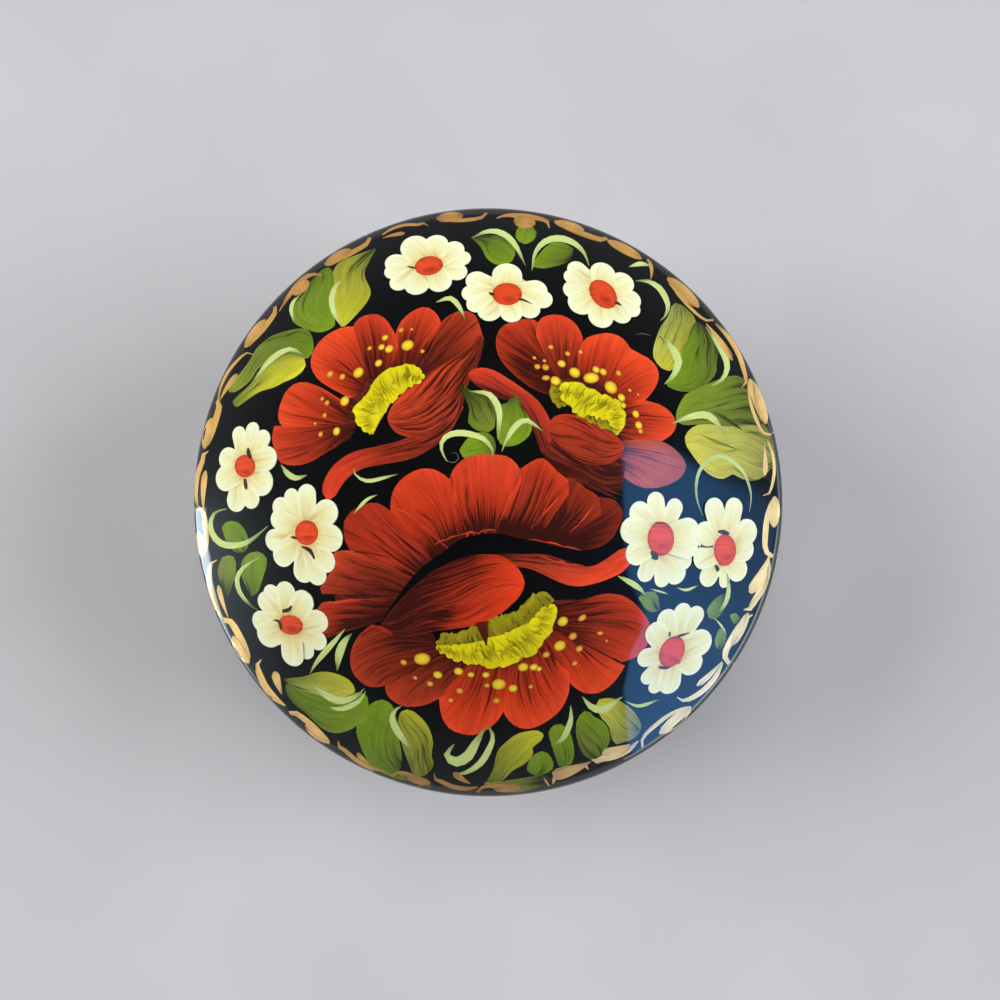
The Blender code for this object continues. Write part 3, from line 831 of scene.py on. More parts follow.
# The leaves: the tones of one half and of the other, the number of the point at the tip, and the outline
# from the base round
LEAVES = [
    # Upper left
    (GREEN, BRIGHT_GREEN, 8, [
        (-25.9, 29.7), (-28.1, 28.7), (-30.4, 29.1), (-32.9, 30.4), (-33.1, 32.1), (-32.5, 33.7),
        (-31.2, 35.2), (-30, 37.3), (-28.5, 39), (-27, 39.7), (-25.9, 38.2), (-25.7, 34)]),
    (YELLOW_GREEN, YELLOW_GREEN, 7, [
        (-24.6, 29.5), (-25.8, 31.5), (-26.3, 33.6), (-25.9, 36.9), (-26.2, 39), (-24.9, 40.7),
        (-22.8, 41.6), (-18.8, 43), (-20, 40.9), (-20.9, 38.4), (-19.8, 35.6), (-20.7, 33.5), (-21.9, 32.1),
        (-23.4, 30.5)]),
    (LIT_GREEN, LIT_GREEN, 8, [
        (-29.4, 26.3), (-30, 28.6), (-31.7, 29.4), (-35.9, 28.4), (-37.6, 27.4), (-39.2, 25.9),
        (-40.5, 23.6), (-43, 20.4), (-44.1, 18.7), (-42.8, 18.6), (-40.3, 20.4), (-38.6, 22.8),
        (-35.5, 24.1), (-31.2, 24.2), (-29.9, 24.8)]),
    (LIT_YELLOW, LIT_OLIVE, 8, [
        (-31.1, 24.4), (-30.8, 23.2), (-31.5, 22), (-33, 20.9), (-34.5, 20.3), (-36.2, 19.4), (-38.3, 18.8),
        (-40, 17.8), (-42.5, 16), (-43.3, 16.7), (-42.5, 17.8), (-40.2, 19.9), (-38.9, 22), (-37.2, 23.4),
        (-35.1, 24.5), (-33, 25)]),
    # Top
    (BRIGHT_GREEN, DEEP_GREEN, 6, [
        (4.6, 41.9), (3.8, 40.5), (2.4, 40.1), (0.9, 40.3), (-0.4, 41.4), (-1.2, 43.1), (-2.9, 44.8),
        (-0.8, 45.1), (1.9, 45), (3.4, 44.4), (4.4, 43.1)]),
    (BRIGHT_GREEN, GREEN, 4, [
        (6.2, 43.6), (5, 44.2), (4.6, 45.4), (5.4, 46.8), (7.2, 46.9), (8.2, 45.6), (7.6, 44.2)]),
    (BRIGHT_GREEN, DEEP_GREEN, 5, [
        (7.4, 39.8), (7.9, 41), (9.3, 42.7), (10.6, 43.8), (12.5, 43.9), (14.4, 42.9), (14.4, 41.7),
        (13.4, 40.6), (11.4, 39.9), (9.3, 39.5)]),
    # Right
    (MIST, YELLOW_GREEN, 7, [
        (29.3, 22.6), (28, 24.3), (27.9, 26), (28.5, 28.1), (29.3, 30), (30.4, 31.4), (31.2, 33.6),
        (32.9, 33.3), (35, 31), (34.4, 28.6), (33.3, 26), (31.9, 23.4), (31, 22.2)]),
    (BRIGHT_GREEN, DEEP_GREEN, 5, [
        (30, 19.8), (31.2, 21.8), (32.2, 24), (33.5, 27.2), (34.2, 29.2), (35.1, 30.7), (36.8, 29.5),
        (38.3, 28), (39.1, 26.5), (38.6, 23.6), (38.5, 21.9), (37.2, 20.2), (35.1, 18.9), (33, 18.7),
        (31.3, 19.1)]),
    (GREEN, OLIVE, 8, [
        (31.7, 13.8), (31.8, 15.3), (32.4, 16.8), (33.4, 18.3), (35.5, 19.3), (39.3, 20.9), (42, 21.4),
        (44.2, 20), (45.9, 17.4), (46.9, 14.8), (46.4, 13), (43.6, 12.4), (41.4, 12.4), (37.3, 13.1),
        (33, 13.1)]),
    (MIST, LIGHT_MIST, 8, [
        (33.4, 9.6), (33.2, 10.9), (33.8, 12.1), (35.2, 13), (37.2, 13.2), (40.5, 12.8), (45, 13),
        (47.8, 10.6), (48.6, 6.8), (46, 4), (43.4, 3.8), (41.2, 4.8), (40.2, 4.1), (38.9, 4), (37.2, 4.8),
        (36, 6), (34.7, 7.7)]),
    (GREEN, GREEN, 5, [
        (25.4, -16.2), (25.6, -15.6), (26.9, -15.1), (28.4, -15.2), (28.8, -16.5), (29, -18.2),
        (27.9, -18.6), (26.5, -17.9)]),
    (GREEN, DEEP_GREEN, 3, [
        (36.9, -18.4), (37.4, -17.3), (38.7, -16), (40, -15.4), (40.4, -16.7), (39.6, -18.6), (38.3, -19.8),
        (37.2, -19.4)]),
    (GREEN, GREEN, 4, [
        (38.3, -23.2), (38.9, -21.5), (40, -21.3), (40.2, -23.2), (39.3, -24.9), (38.5, -24.5)]),
    (GREEN, GREEN, 3, [
        (40.8, -19), (41.6, -18.6), (42.5, -19.3), (42.3, -20.5), (41.3, -20.4)]),
    # Bottom
    (YELLOW_GREEN, MIST, 8, [
        (18.2, -34.4), (18.6, -33.4), (19.5, -33.1), (21, -33.1), (22.7, -33.8), (24.4, -35.1),
        (25.4, -36.4), (25.9, -37.6), (25.6, -38.9), (24.4, -40), (22.7, -40.6), (21.4, -40.8),
        (20.6, -39.1), (20.4, -37.8), (19.1, -36.4)]),
    (BRIGHT_GREEN, OLIVE, 8, [
        (14.9, -37), (15.9, -35.4), (17, -35.3), (17.9, -36.2), (19.4, -37), (20.3, -38.3), (20.6, -40.2),
        (19.9, -41.6), (19.1, -43.1), (17.4, -43.5), (15.9, -42.3), (15.1, -40.4), (14.8, -38.5)]),
    (BRIGHT_GREEN, GREEN, 7, [
        (11, -37.7), (12.1, -37.4), (13.2, -38), (14, -39.3), (14.5, -41.6), (14.3, -43.8), (13.2, -44.6),
        (11.9, -44.6), (11.3, -42.9), (10.8, -41.2), (10.2, -38.9)]),
    (BRIGHT_GREEN, GREEN, 5, [
        (9, -42), (10.1, -42.4), (10.8, -43.4), (11.1, -44.6), (10.2, -45.6), (8.1, -46.2), (6.6, -45.4),
        (6.8, -43.9), (7.8, -42.6)]),
    (YELLOW_GREEN, YELLOW_GREEN, 8, [
        (9.5, -39.2), (8.3, -38.5), (6.4, -38.7), (4.7, -39.2), (3, -40.5), (1.7, -41.8), (1.2, -43.4),
        (0.9, -45), (-0.4, -47.3), (2.4, -46.9), (4, -45.4), (5.9, -44.3), (7.2, -43.2), (7.7, -42),
        (7.5, -41.2), (8.7, -40.5)]),
    # Bottom left
    (BRIGHT_GREEN, GREEN, 10, [
        (-16.6, -33.8), (-17.8, -33.3), (-18.9, -33.5), (-20.4, -34.5), (-21.6, -36.4), (-22.3, -38.3),
        (-21.8, -40.4), (-21, -42.5), (-19.9, -44), (-17.8, -45.2), (-15, -46.4), (-14.6, -43), (-15, -40),
        (-15.4, -37), (-15.9, -34.9)]),
    (YELLOW_GREEN, LIT_OLIVE, 9, [
        (-14.9, -35.5), (-14, -35), (-12.8, -35.2), (-11.5, -36.2), (-10.4, -37.4), (-9.6, -39.1),
        (-9.3, -40.8), (-9.6, -42.6), (-9.2, -44.4), (-10.4, -46), (-12.3, -46.3), (-13.6, -43.6),
        (-14.7, -40.4), (-15.3, -37.6)]),
    (BRIGHT_GREEN, GREEN, 4, [
        (-20.2, -33.6), (-20.9, -32.4), (-25, -31.8), (-30, -30.6), (-34.4, -30.7), (-33.9, -32.6),
        (-32.6, -34.3), (-30.9, -35.5), (-29.4, -37), (-27.8, -38.3), (-26.3, -38.9), (-24.8, -38.9),
        (-23.1, -38.3), (-22.1, -37.6), (-20.4, -36.4)]),
    (YELLOW_GREEN, MIST, 7, [
        (-22.4, -32), (-22.6, -31.1), (-23.5, -30), (-25.2, -29.1), (-27.3, -28.6), (-29.4, -28.8),
        (-31, -29.4), (-34.6, -29.8), (-32.6, -31.4), (-29, -32.4), (-25.2, -33)]),
    # Left
    (BRIGHT_GREEN, GREEN, 6, [
        (-45, -4.2), (-44.2, -3.3), (-42.7, -3.2), (-41.4, -4.2), (-40.6, -5.9), (-40.6, -7.6),
        (-41.4, -8.5), (-42.9, -8.3), (-44.3, -6.4)]),
    (GREEN, OLIVE, 5, [
        (-45, -9.3), (-43.6, -8.9), (-42.7, -9.7), (-42.7, -12.3), (-43.3, -14.2), (-44, -16.1),
        (-45, -14.2), (-45.7, -11.6)]),
    (BRIGHT_GREEN, GREEN, 6, [
        (-40.2, -8.5), (-38.9, -8.3), (-37.6, -9.1), (-37.4, -10.6), (-38.1, -12.9), (-38.9, -15.2),
        (-40, -16), (-40.8, -14.4), (-41.7, -12.1), (-41.5, -9.7)]),
    # Between the poppies, below the large one's edge
    (BRIGHT_GREEN, GREEN, 5, [
        (-4.9, 8.8), (-4.4, 9.6), (-3.4, 10.9), (-1.7, 11.8), (0, 11.7), (1.1, 10.7), (1.3, 9.2),
        (0.9, 7.7), (-0.6, 6.8), (-2.7, 6.8), (-4.2, 7.6)]),
]
# The two leaves over the second poppy's ribbon
CENTRE_LEAVES = [
    (OLIVE, DEEP_GREEN, 6, [
        (1.1, 12.6), (1.3, 15), (1.1, 17), (0.2, 18.3), (-1.7, 18.5), (-3.4, 19.1), (-4.2, 20.1),
        (-4.9, 19.3), (-3.8, 17.4), (-3.2, 15.7), (-3.4, 13.6), (-2.5, 12.5), (-1.5, 12), (0, 11.8)]),
    (GREEN, BRIGHT_GREEN, 5, [
        (1.5, 11.1), (1.4, 13), (1.8, 16.2), (3, 16.7), (3.8, 17.4), (4.7, 18.1), (5.5, 17), (5.7, 15.9),
        (6.8, 14.5), (7.4, 13.2), (7.2, 11.7), (6.4, 10.7), (5.1, 9.8), (3.2, 9.4), (1.9, 10)]),
]
# Fine strokes along the leaves at the right: tone, width and line
VEINS = [
    (DARK_VEIN, 0.7, [(37.9, 15.4), (40.4, 13.9), (42.9, 12.2)]),
    (LIGHT_VEIN, 0.5, [(35.6, 11.6), (38.6, 10.2), (42, 9)]),
]


def lay_leaves(paint, leaves):
    for tone, other, tip, outline in leaves:
        leaf(paint, outline, tip, tone, other)


def paint_leaves():
    green = Paint("leaves", leaf_paint)
    for tone, line in TAILS:
        curl(green, line, tone)
    lay_leaves(green, LEAVES)
    for tone, width, line in VEINS:
        comma(green, line, width, tone)
    return green


# The first poppy's petals: the tone, how bright the first and the last side are, how far the strokes bend,
# and the base and the outer edge, which run the same way
FIRST_PETALS = [
    (GROUND, (1.0, 1.0), 0.0, [
        (-22.6, 11.8), (-22, 14.4), (-20, 18), (-17.6, 20), (-15.5, 20.8), (-13, 21.6), (-11, 21.8)], [
        (-26, 10.4), (-26.5, 14), (-25, 17.4), (-22, 19.6), (-21, 24), (-17, 26), (-12.5, 26.4),
        (-9.6, 24.6)]),
    (DEEP_RED, (1.0, 1.0), 0.0, (-11.3, 21.6), [
        (-8, 30.3), (-6.9, 31.4), (-5.3, 32.2), (-3.8, 32.3), (-2.5, 31.9), (-1.7, 30.7), (-1.2, 29),
        (-0.7, 27.1), (-1.2, 25), (-1.7, 23.3), (-2.7, 21.2)]),
    (MID_RED, (1.0, 1.05), 0.0, [(-15.8, 22.2), (-12, 22.8)], [
        (-15.8, 27.4), (-15.5, 28.8), (-14.9, 30.3), (-13.7, 31.6), (-12.2, 32.6), (-10.8, 33),
        (-9.5, 32.6), (-8.4, 31.4), (-8, 30.3), (-8.9, 28.4)]),
    (MID_RED, (0.75, 1.1), 0.0, [(-20.2, 20.6), (-16.4, 22)], [
        (-23, 28), (-22.8, 29.7), (-22, 30.9), (-20.7, 31.6), (-19.4, 31.8), (-18.2, 31.6), (-17.1, 30.7),
        (-16.3, 29.5), (-15.6, 28.2), (-15.2, 26.4)]),
    (RED, (0.85, 1.0), 0.0, [(-21.6, 18.2), (-20.4, 21)], [
        (-23.2, 17.6), (-24.5, 18.2), (-26.2, 19.1), (-27.9, 20.1), (-29.1, 21.2), (-29.9, 22.9),
        (-29.9, 24.2), (-29.3, 25.9), (-28.3, 27.3), (-27, 28.4), (-25.5, 29.2), (-24.3, 29.6),
        (-22.8, 29.7)]),
    (MID_RED, (1.05, 0.7), 0.0, [(-24, 13.2), (-23, 11)], [
        (-36.1, 12.9), (-36.5, 10.9), (-36.1, 8.9), (-35.3, 6.9), (-33.8, 6.3), (-31.7, 6.3), (-29.6, 7)]),
    (RED, (0.75, 0.95), 0.0, [(-23.4, 15.6), (-23.6, 13)], [
        (-24.9, 17.4), (-27, 18.7), (-28.9, 19.7), (-30.8, 20.3), (-32.5, 20.1), (-34, 18.9), (-34.8, 17.4),
        (-35.4, 15.4), (-35.3, 13.6), (-34.4, 12.6)]),
]
# Its stamens: the tone, the seed, how jagged the outer and the inner edge are, and the two edges
FIRST_STAMENS = [
    (YELLOW, 11, (0.0, 0.45), [
        (-11, 21.6), (-12.7, 23.3), (-15.4, 22.9), (-17.3, 22.3), (-19, 20.8), (-20.1, 18.9), (-21.1, 17.5),
        (-22.3, 16.4), (-22.5, 14.7), (-22, 13.2), (-20.1, 11.6)], [
        (-11.9, 20.2), (-13.8, 19.3), (-14.8, 18.7), (-15.8, 17.3), (-16.8, 16.3), (-17.5, 15),
        (-18.4, 13.5), (-19.3, 11.8)]),
]
# Its long lower petal with a thin end, the two edges of the folded one, and the dots of pollen
FIRST_TAIL = [
    (-27.1, 0.3, 0.2), (-27, 0.8, 1.5), (-26.8, 1.7, 2.5), (-26.3, 3.2, 3.0), (-24.8, 5.3, 3.2),
    (-22, 7.1, 3.2), (-18, 8, 3.2), (-13, 9.3, 3.6), (-8.5, 12.5, 4), (-5.4, 17, 3.2),
]
LONG_UPPER = [
    (-17, 14.4), (-16.4, 16), (-14.6, 18.2), (-12.7, 19.8), (-10.5, 21.5), (-8.4, 22.8), (-6, 24.3),
    (-3.2, 26.2), (-1.3, 28.4),
]
LONG_LOWER = [
    (-16.9, 13.6), (-15.9, 12), (-14.3, 11.2), (-12.7, 11), (-10.5, 11.2), (-8, 12.3), (-5.2, 14.4),
    (-4.2, 17), (-3.2, 20.4), (-1.4, 24), (-0.7, 27.1),
]
FIRST_BRIGHT = [
    (-13.6, 26.5, 1.1), (-17.4, 27.8, 0.6), (-18, 26.2, 0.6), (-16.7, 25.9, 0.8), (-18.5, 23.5, 0.7),
    (-21.9, 21.9, 1.0), (-24.2, 17.1, 0.9), (-25.6, 12, 0.75),
]
FIRST_WARM = [
    (-24.6, 21.2, 0.6), (-26.7, 21.6, 0.7), (-28.3, 11.5, 0.5), (-27.6, 14.7, 0.45), (-27.2, 16.8, 0.5),
    (-28, 17.5, 0.4), (-29.2, 13.3, 0.3), (-14.7, 29.1, 0.5), (-12.9, 29.2, 0.3), (-20, 26, 0.45),
    (-11.1, 25.5, 0.4),
]


def lay_petals(paint, petals):
    for tone, side, bow, base, edge in petals:
        petal(paint, edge, base, tone, side, bow=bow)


def lay_stamens(paint, tufts):
    for tone, seed, jagged, outer, inner in tufts:
        paint_stamens(paint, outer, inner, tone, seed, jagged)


def paint_first_poppy(red, yellow, spots):
    """The poppy at the upper left."""
    lay_petals(red, FIRST_PETALS)
    curl(red, FIRST_TAIL, TAIL_RED)
    band(red, LONG_UPPER, LONG_LOWER, LONG_RED, LONG_DEEP)
    lay_stamens(yellow, FIRST_STAMENS)
    put_dots(spots, FIRST_BRIGHT, BRIGHT_DOT)
    put_dots(spots, FIRST_WARM, WARM_DOT)


# The second poppy's petals and stamens, and the frayed ends of the bristles below it
SECOND_PETALS = [
    (GROUND, (1.0, 1.0), 0.0, [
        (11, 18.6), (13.4, 19.2), (16, 18.8), (18.5, 17.8), (20.4, 16.6), (21.8, 15), (22.4, 13),
        (22.4, 10.4)], [
        (9, 22.6), (11.5, 26), (15, 26.6), (19, 25), (23, 22.4), (26, 18), (27, 13.5), (26.4, 8)]),
    (MID_RED, (0.3, 1.0), 0.0, [(10.8, 18.6), (12, 21)], [
        (10.2, 18.2), (8.9, 18.6), (7.2, 19.4), (5.5, 20.6), (3.8, 22.1), (2.3, 23.8), (1.5, 25.4),
        (1.3, 27.1), (1.6, 28.6), (2.6, 29.9), (4.7, 30.7), (6.6, 31), (8.3, 30.5), (9.6, 28)]),
    (MID_RED, (1.15, 0.95), 0.0, [(11.6, 20.8), (15, 21)], [
        (8.1, 28), (8.3, 30.3), (9.5, 31.4), (11, 31.7), (12.7, 31.5), (14.4, 30.5), (15.4, 29.2),
        (16, 27.6), (16, 25.6)]),
    (RED, (0.9, 1.0), 0.0, [(15.2, 21), (19.6, 19.4)], [
        (15.2, 25), (16, 27.2), (17.1, 28), (18.6, 28.4), (20.1, 28.6), (21.6, 28.3), (22.8, 27.6),
        (23.7, 26.5), (24.3, 25.2), (24.4, 23.6)]),
    (RED, (1.0, 0.9), 0.0, [(19.4, 19), (22, 15.8)], [
        (24, 26), (25.4, 25.2), (27.1, 24.3), (28.1, 23.3), (28.7, 22.3), (28.8, 21.2), (28.6, 20.2),
        (27.9, 18.9), (27.1, 17.9), (26, 16.8), (24.4, 16)]),
    (RED, (0.95, 0.9), 0.0, [(22, 15.6), (21.8, 11.4)], [
        (25.6, 17.4), (27.7, 16.9), (29.2, 16.4), (30.5, 15.5), (31.3, 14.5), (31.8, 13.4), (31.5, 12.2),
        (30.7, 11.2), (29.6, 10.5), (27.7, 9.6), (25.6, 9)]),
    (RED_WITH_PAINTED_REFLECTION, (1.0, 0.92), 0.0, [(22.4, 10.6), (21.6, 5.4)], [
        (26.2, 10.6), (28.8, 10.4), (30.5, 9.7), (31.9, 8.6), (33, 7.3), (33.4, 6.2), (33.2, 5.2),
        (32.4, 4.1), (30.9, 3.2), (28.8, 2.5), (26.7, 2.4), (24.8, 2.9), (23.2, 4)]),
]
SECOND_STAMENS = [
    (DIM_YELLOW, 21, (0.0, 0.0), [(10.6, 19.8), (10.4, 17.8), (11.5, 16.4)], [
        (12.6, 20.2), (13, 18.6), (13.2, 16.6)]),
    (DIM_YELLOW, 22, (0.0, 0.0), [(14.4, 15.8), (16, 15.3), (19, 15), (21, 13.6)], [
        (15.6, 14.4), (17.4, 13.6), (20, 12.3), (21.8, 11.6)]),
    (YELLOW, 23, (0.0, 0.35), [
        (12.8, 18.6), (13, 20), (14.6, 20.3), (15.9, 20), (17, 19), (18.2, 18.9), (19.2, 17.9),
        (20.3, 17.8), (21.7, 17), (22.7, 15.7), (23.1, 14.3), (22.9, 12.8), (21.9, 11.5)], [
        (12.9, 18.2), (12.9, 16.9), (13.9, 16.2), (15.1, 16.6), (14.6, 15.2), (16, 15.2), (17.4, 15),
        (19.3, 14.7), (20.2, 13.6), (21.2, 12.2)]),
]
FRAYS = [
    [(12.5, 5.4, 0.5), (15.5, 3.6, 0.5), (18.6, 1.5, 0.1)],
    [(15.6, 4, 0.5), (18.2, 2.4, 0.45), (20.6, 1, 0.1)],
    [(17, 3.4, 0.6), (19.4, 1.9, 0.4), (21.6, 0.6, 0.1)],
    [(18.4, 3.2, 0.5), (20.6, 1.9, 0.4), (22.6, 1.2, 0.1)],
]
# The two edges of its lowest petal, of the ribbon and of the petal folded over, and the dots of pollen
UNDER_UPPER = [(9.4, 13.6), (12, 11.6), (16, 9.8), (20, 8.2), (23.2, 6.8)]
UNDER_LOWER = [(8.6, 9.8), (9.8, 7.2), (12.2, 5.1), (16.1, 3.3), (19.5, 1.8), (22.6, 2)]
RIBBON_UPPER = [
    (-3.3, 21.9), (-2.1, 22.6), (-0.8, 22.7), (0.9, 22.3), (3, 21.1), (5.1, 19.7), (6.8, 18.5), (8.5, 17),
    (9.7, 15.3), (10.5, 13.6), (11, 11),
]
RIBBON_LOWER = [
    (-3.4, 21.1), (-2.3, 20), (-0.6, 18.9), (1.9, 17.5), (3.8, 17.2), (5.1, 16.8), (5.9, 15.7), (6.8, 14),
    (7.4, 12.8), (8.3, 10), (9.1, 8),
]
LIP_UPPER = [
    (10.2, 12.6), (10.5, 13.9), (11.4, 14.6), (12.9, 14.9), (14.4, 14.8), (16.3, 14.3), (18, 13.3),
    (19.9, 12.2), (21.6, 11.3), (22.7, 10),
]
LIP_LOWER = [
    (10.3, 11.6), (10.9, 10.4), (11.9, 9.2), (13.1, 8.2), (15.2, 7), (17.3, 6.4), (19.4, 6.3), (21.4, 7),
    (22.4, 8), (22.9, 9.2),
]
SECOND_BRIGHT = [
    (14.6, 21.9, 1.0), (18.2, 22.4, 0.7), (19.4, 22, 0.7), (20.7, 19.4, 1.2), (22.4, 17.6, 0.75),
    (22.7, 16.3, 0.55), (12.4, 23.4, 0.75), (11.3, 20.4, 0.9), (24.9, 14.9, 0.7), (25.4, 13, 0.75),
]
SECOND_WARM = [
    (22, 21.8, 0.55), (13.4, 25.1, 0.5), (15.6, 25.4, 0.45), (10.6, 26.2, 0.5), (9.7, 22.8, 0.65),
    (9.5, 23.9, 0.35), (8.3, 22.9, 0.55), (7.8, 24.4, 0.35), (25.7, 12, 0.5), (23.9, 18.9, 0.35),
    (25.3, 18.2, 0.25),
]


def paint_second_poppy(red, yellow, spots):
    """The poppy at the upper right, with its ribbon of a petal towards the middle."""
    lay_petals(red, SECOND_PETALS)
    band(red, UNDER_UPPER, UNDER_LOWER, UNDER_RED, UNDER_DEEP)
    for line in FRAYS:
        curl(red, line, FRAY_RED)
    band(red, RIBBON_UPPER, RIBBON_LOWER, RIBBON_RED, RIBBON_DEEP)
    band(red, LIP_UPPER, LIP_LOWER, LIP_RED, LIP_DEEP)
    lay_stamens(yellow, SECOND_STAMENS)
    dot(spots, 17.4, 21, 1.35, BRIGHT_DOT, 0.68, 0)
    put_dots(spots, SECOND_BRIGHT, BRIGHT_DOT)
    put_dots(spots, SECOND_WARM, WARM_DOT)
    dot(spots, 9.7, 20.9, 0.72, WARM_DOT, 0.62, 0)


# The large poppy: the petals of the fan above its dark gap and those of the bowl, and its stamens
FAN_PETALS = [
    (GROUND, (1.0, 1.0), 0.0, [
        (-17.8, -19.8), (-15.2, -15.6), (-11.6, -12.9), (-8.6, -10.5), (-4, -7.8), (1, -7.2), (6, -7),
        (11, -7.4), (16, -8.2)], [
        (-25, -18.4), (-26, -14), (-22, -7), (-15, -3), (-10, 0), (-3, 1), (4, 0.6), (10, -0.4), (15, -2.4),
        (19, -5.6)]),
    (FAN_DEEP, (0.9, 0.7), 0.0, [(11.6, -7), (13.6, -7.9)], [
        (18.2, 1), (19.1, 0.8), (20.1, 0.8), (21.4, 0.3), (22.5, -1.1), (22.7, -2.3), (22, -4.2),
        (21, -5.9), (19.5, -7.2), (17.8, -7.8), (16.3, -8)]),
    (FAN_DEEP, (0.9, 1.15), 0.0, [(8, -6.6), (12, -7.2)], [
        (11.8, 4.2), (13.4, 4.3), (15.1, 3.6), (16.2, 2.5), (18, 1.5), (18.8, 0.2), (19, -2)]),
    (FAN_MID, (0.9, 0.9), 0.0, [(2, -5.6), (8.2, -6.4)], [
        (4.6, 5), (5.5, 5.7), (6.5, 6.4), (8, 7.2), (9.4, 7.4), (12, 4.9), (13.4, 3.8), (13.6, 1.4)]),
    (FAN_RED, (0.9, 1.0), 0.0, [(-3.6, -6.6), (2.2, -5.2)], [
        (-6.9, 2.4), (-6.5, 4), (-6, 5.3), (-5.1, 6.5), (-3.9, 7.4), (-2.2, 7.9), (0, 8.1), (1.8, 8),
        (3.3, 7.7), (4.6, 6.7), (5.4, 5.4), (5.6, 3.4)]),
    (FAN_RED, (0.85, 1.0), 0.0, [(-8.4, -10.2), (-3.8, -7)], [
        (-16.3, -2.8), (-16.4, -1.4), (-16.4, 0.2), (-15.9, 2.1), (-14.7, 3.8), (-13.2, 4.9), (-11.5, 5.6),
        (-9.8, 5.7), (-8.3, 5.2), (-6.5, 3.9), (-5.4, 2)]),
    (FAN_EVEN, (0.95, 1.0), 0.0, [(-12, -13.2), (-8.4, -10.3)], [
        (-22.9, -8.6), (-24, -6.6), (-24.3, -4.9), (-24.2, -3.2), (-23.3, -1.8), (-22.1, -0.9),
        (-20.4, -0.2), (-18.7, -0.1), (-17.4, -0.7), (-15.9, -1.9)]),
    (DEEP_RED, (0.9, 1.45), 0.0, [(-15.2, -15.8), (-11.8, -13)], [
        (-28, -15.4), (-28.2, -14.2), (-26.9, -12.3), (-25.7, -10), (-26.3, -8.6), (-24.6, -8.1),
        (-22.6, -8.2)]),
    (MID_RED, (0.45, 1.1), 0.0, [(-18, -20), (-15, -15.6)], [
        (-26.9, -22.7), (-28.3, -21.6), (-28.8, -19.6), (-28.6, -17.6), (-27.4, -16.7), (-24.6, -16.8)]),
]
BOWL_PETALS = [
    (GROUND, (1.0, 1.0), 0.0, [
        (-9.6, -21.8), (-8.2, -24.6), (-5.4, -25.8), (-2.2, -26.4), (0, -26.6), (3, -26.4), (6, -25.2),
        (7.8, -24.2), (9, -22.4), (10, -20.5), (10.4, -18.5), (10, -16.6)], [
        (-19.6, -24), (-17, -29), (-11, -31.6), (-6, -34.6), (0, -35), (5, -34.6), (10, -33), (15, -29.6),
        (21, -26.6), (24, -21), (20, -17), (14, -16.4)]),
    (MID_RED, (0.8, 0.95), 1.0, [(11.2, -17.2), (10.8, -20.9)], [
        (14.9, -17.3), (16.3, -16.7), (18, -15.8), (19.9, -15.4), (21.4, -15.5), (23.1, -15.9),
        (24.8, -17.1), (26.3, -18.8), (27.2, -20.3), (27.3, -22.2), (26.9, -23.9), (26, -25.3),
        (24.4, -26.4), (22.6, -27)]),
    (BOWL_RED, (0.85, 1.0), 0.0, [(10.8, -21.4), (8.8, -23.8)], [
        (23.1, -27.6), (22.2, -29.1), (21, -30.6), (19.1, -32), (17.6, -32.3), (16.3, -32.2), (14.8, -31.4),
        (13.6, -30.2), (12.6, -28.4)]),
    (BOWL_RED, (0.95, 1.0), 0.0, [(8.6, -24), (3.8, -26.6)], [
        (13.8, -28.8), (13.7, -31.6), (13.1, -33.5), (11.9, -35.4), (9.7, -37.1), (7.6, -38.1),
        (5.9, -38.2), (4.5, -37.7), (3.2, -36.5), (2.5, -35), (2.3, -32.8)]),
    (BOWL_RED, (1.0, 0.95), 0.0, [(3.6, -26.8), (-2.6, -26.6)], [
        (2.6, -35.3), (1.7, -36.7), (0.7, -37.7), (-1, -38.8), (-2.9, -39.3), (-5, -38.9), (-6.5, -38.2),
        (-7.6, -36.7), (-8.1, -35), (-8.3, -33)]),
    (DEEP_RED, (1.2, 1.25), -1.5, [(-2.8, -26.6), (-7.6, -25)], [
        (-8.3, -33.1), (-10.4, -34.1), (-12.8, -34.5), (-14.7, -34.3), (-15.9, -33.6), (-17, -32.6),
        (-17.4, -31), (-17.2, -29)]),
    (DEEP_RED, (1.1, 0.9), -2.0, [(-7.6, -25), (-9.6, -21.6)], [
        (-17.4, -30.8), (-18.9, -31.1), (-20.4, -30.9), (-21.6, -30), (-22.7, -28.8), (-23.2, -27.1),
        (-23.1, -25.2), (-22.5, -23.5), (-21.4, -22), (-19.7, -20.6)]),
]
THIRD_STAMENS = [
    (DIM_YELLOW, 31, (0.45, 0.0), [
        (-8.6, -23.4), (-7.1, -22.1), (-5, -22.1), (-3, -21.2), (-1.4, -21.6), (-0.6, -20.2), (1.1, -19),
        (2.6, -19.6), (3.6, -18.6), (5.2, -18.2), (6.4, -16.6), (7.9, -15.4), (10, -15.8)], [
        (-8, -24.3), (-6.3, -25), (-4.4, -25.4), (-2.3, -25.6), (-0.4, -25.4), (1.4, -25.2), (3.2, -24.6),
        (5, -23.6), (6.6, -22.4), (8, -21), (9.2, -19.6), (10.2, -18), (10.9, -16.6)]),
    (YELLOW, 34, (0.0, 0.0), [
        (-7.6, -25.2), (-5.9, -26.1), (-4, -26.6), (-2.3, -27.2), (-0.6, -27.1), (1.1, -27.5), (3.2, -27.3),
        (4.9, -26.8), (6.2, -25.8), (7.8, -25), (8.9, -24.1), (9.4, -23), (10.4, -22.1), (10.8, -20.6),
        (11.4, -19.6), (11.5, -18.1)], [
        (-8.6, -24), (-6, -24), (-3.6, -23.7), (-1.2, -23.2), (1.2, -22.8), (3.4, -22), (5.4, -21),
        (7.2, -19.8), (8.8, -18.4)]),
]
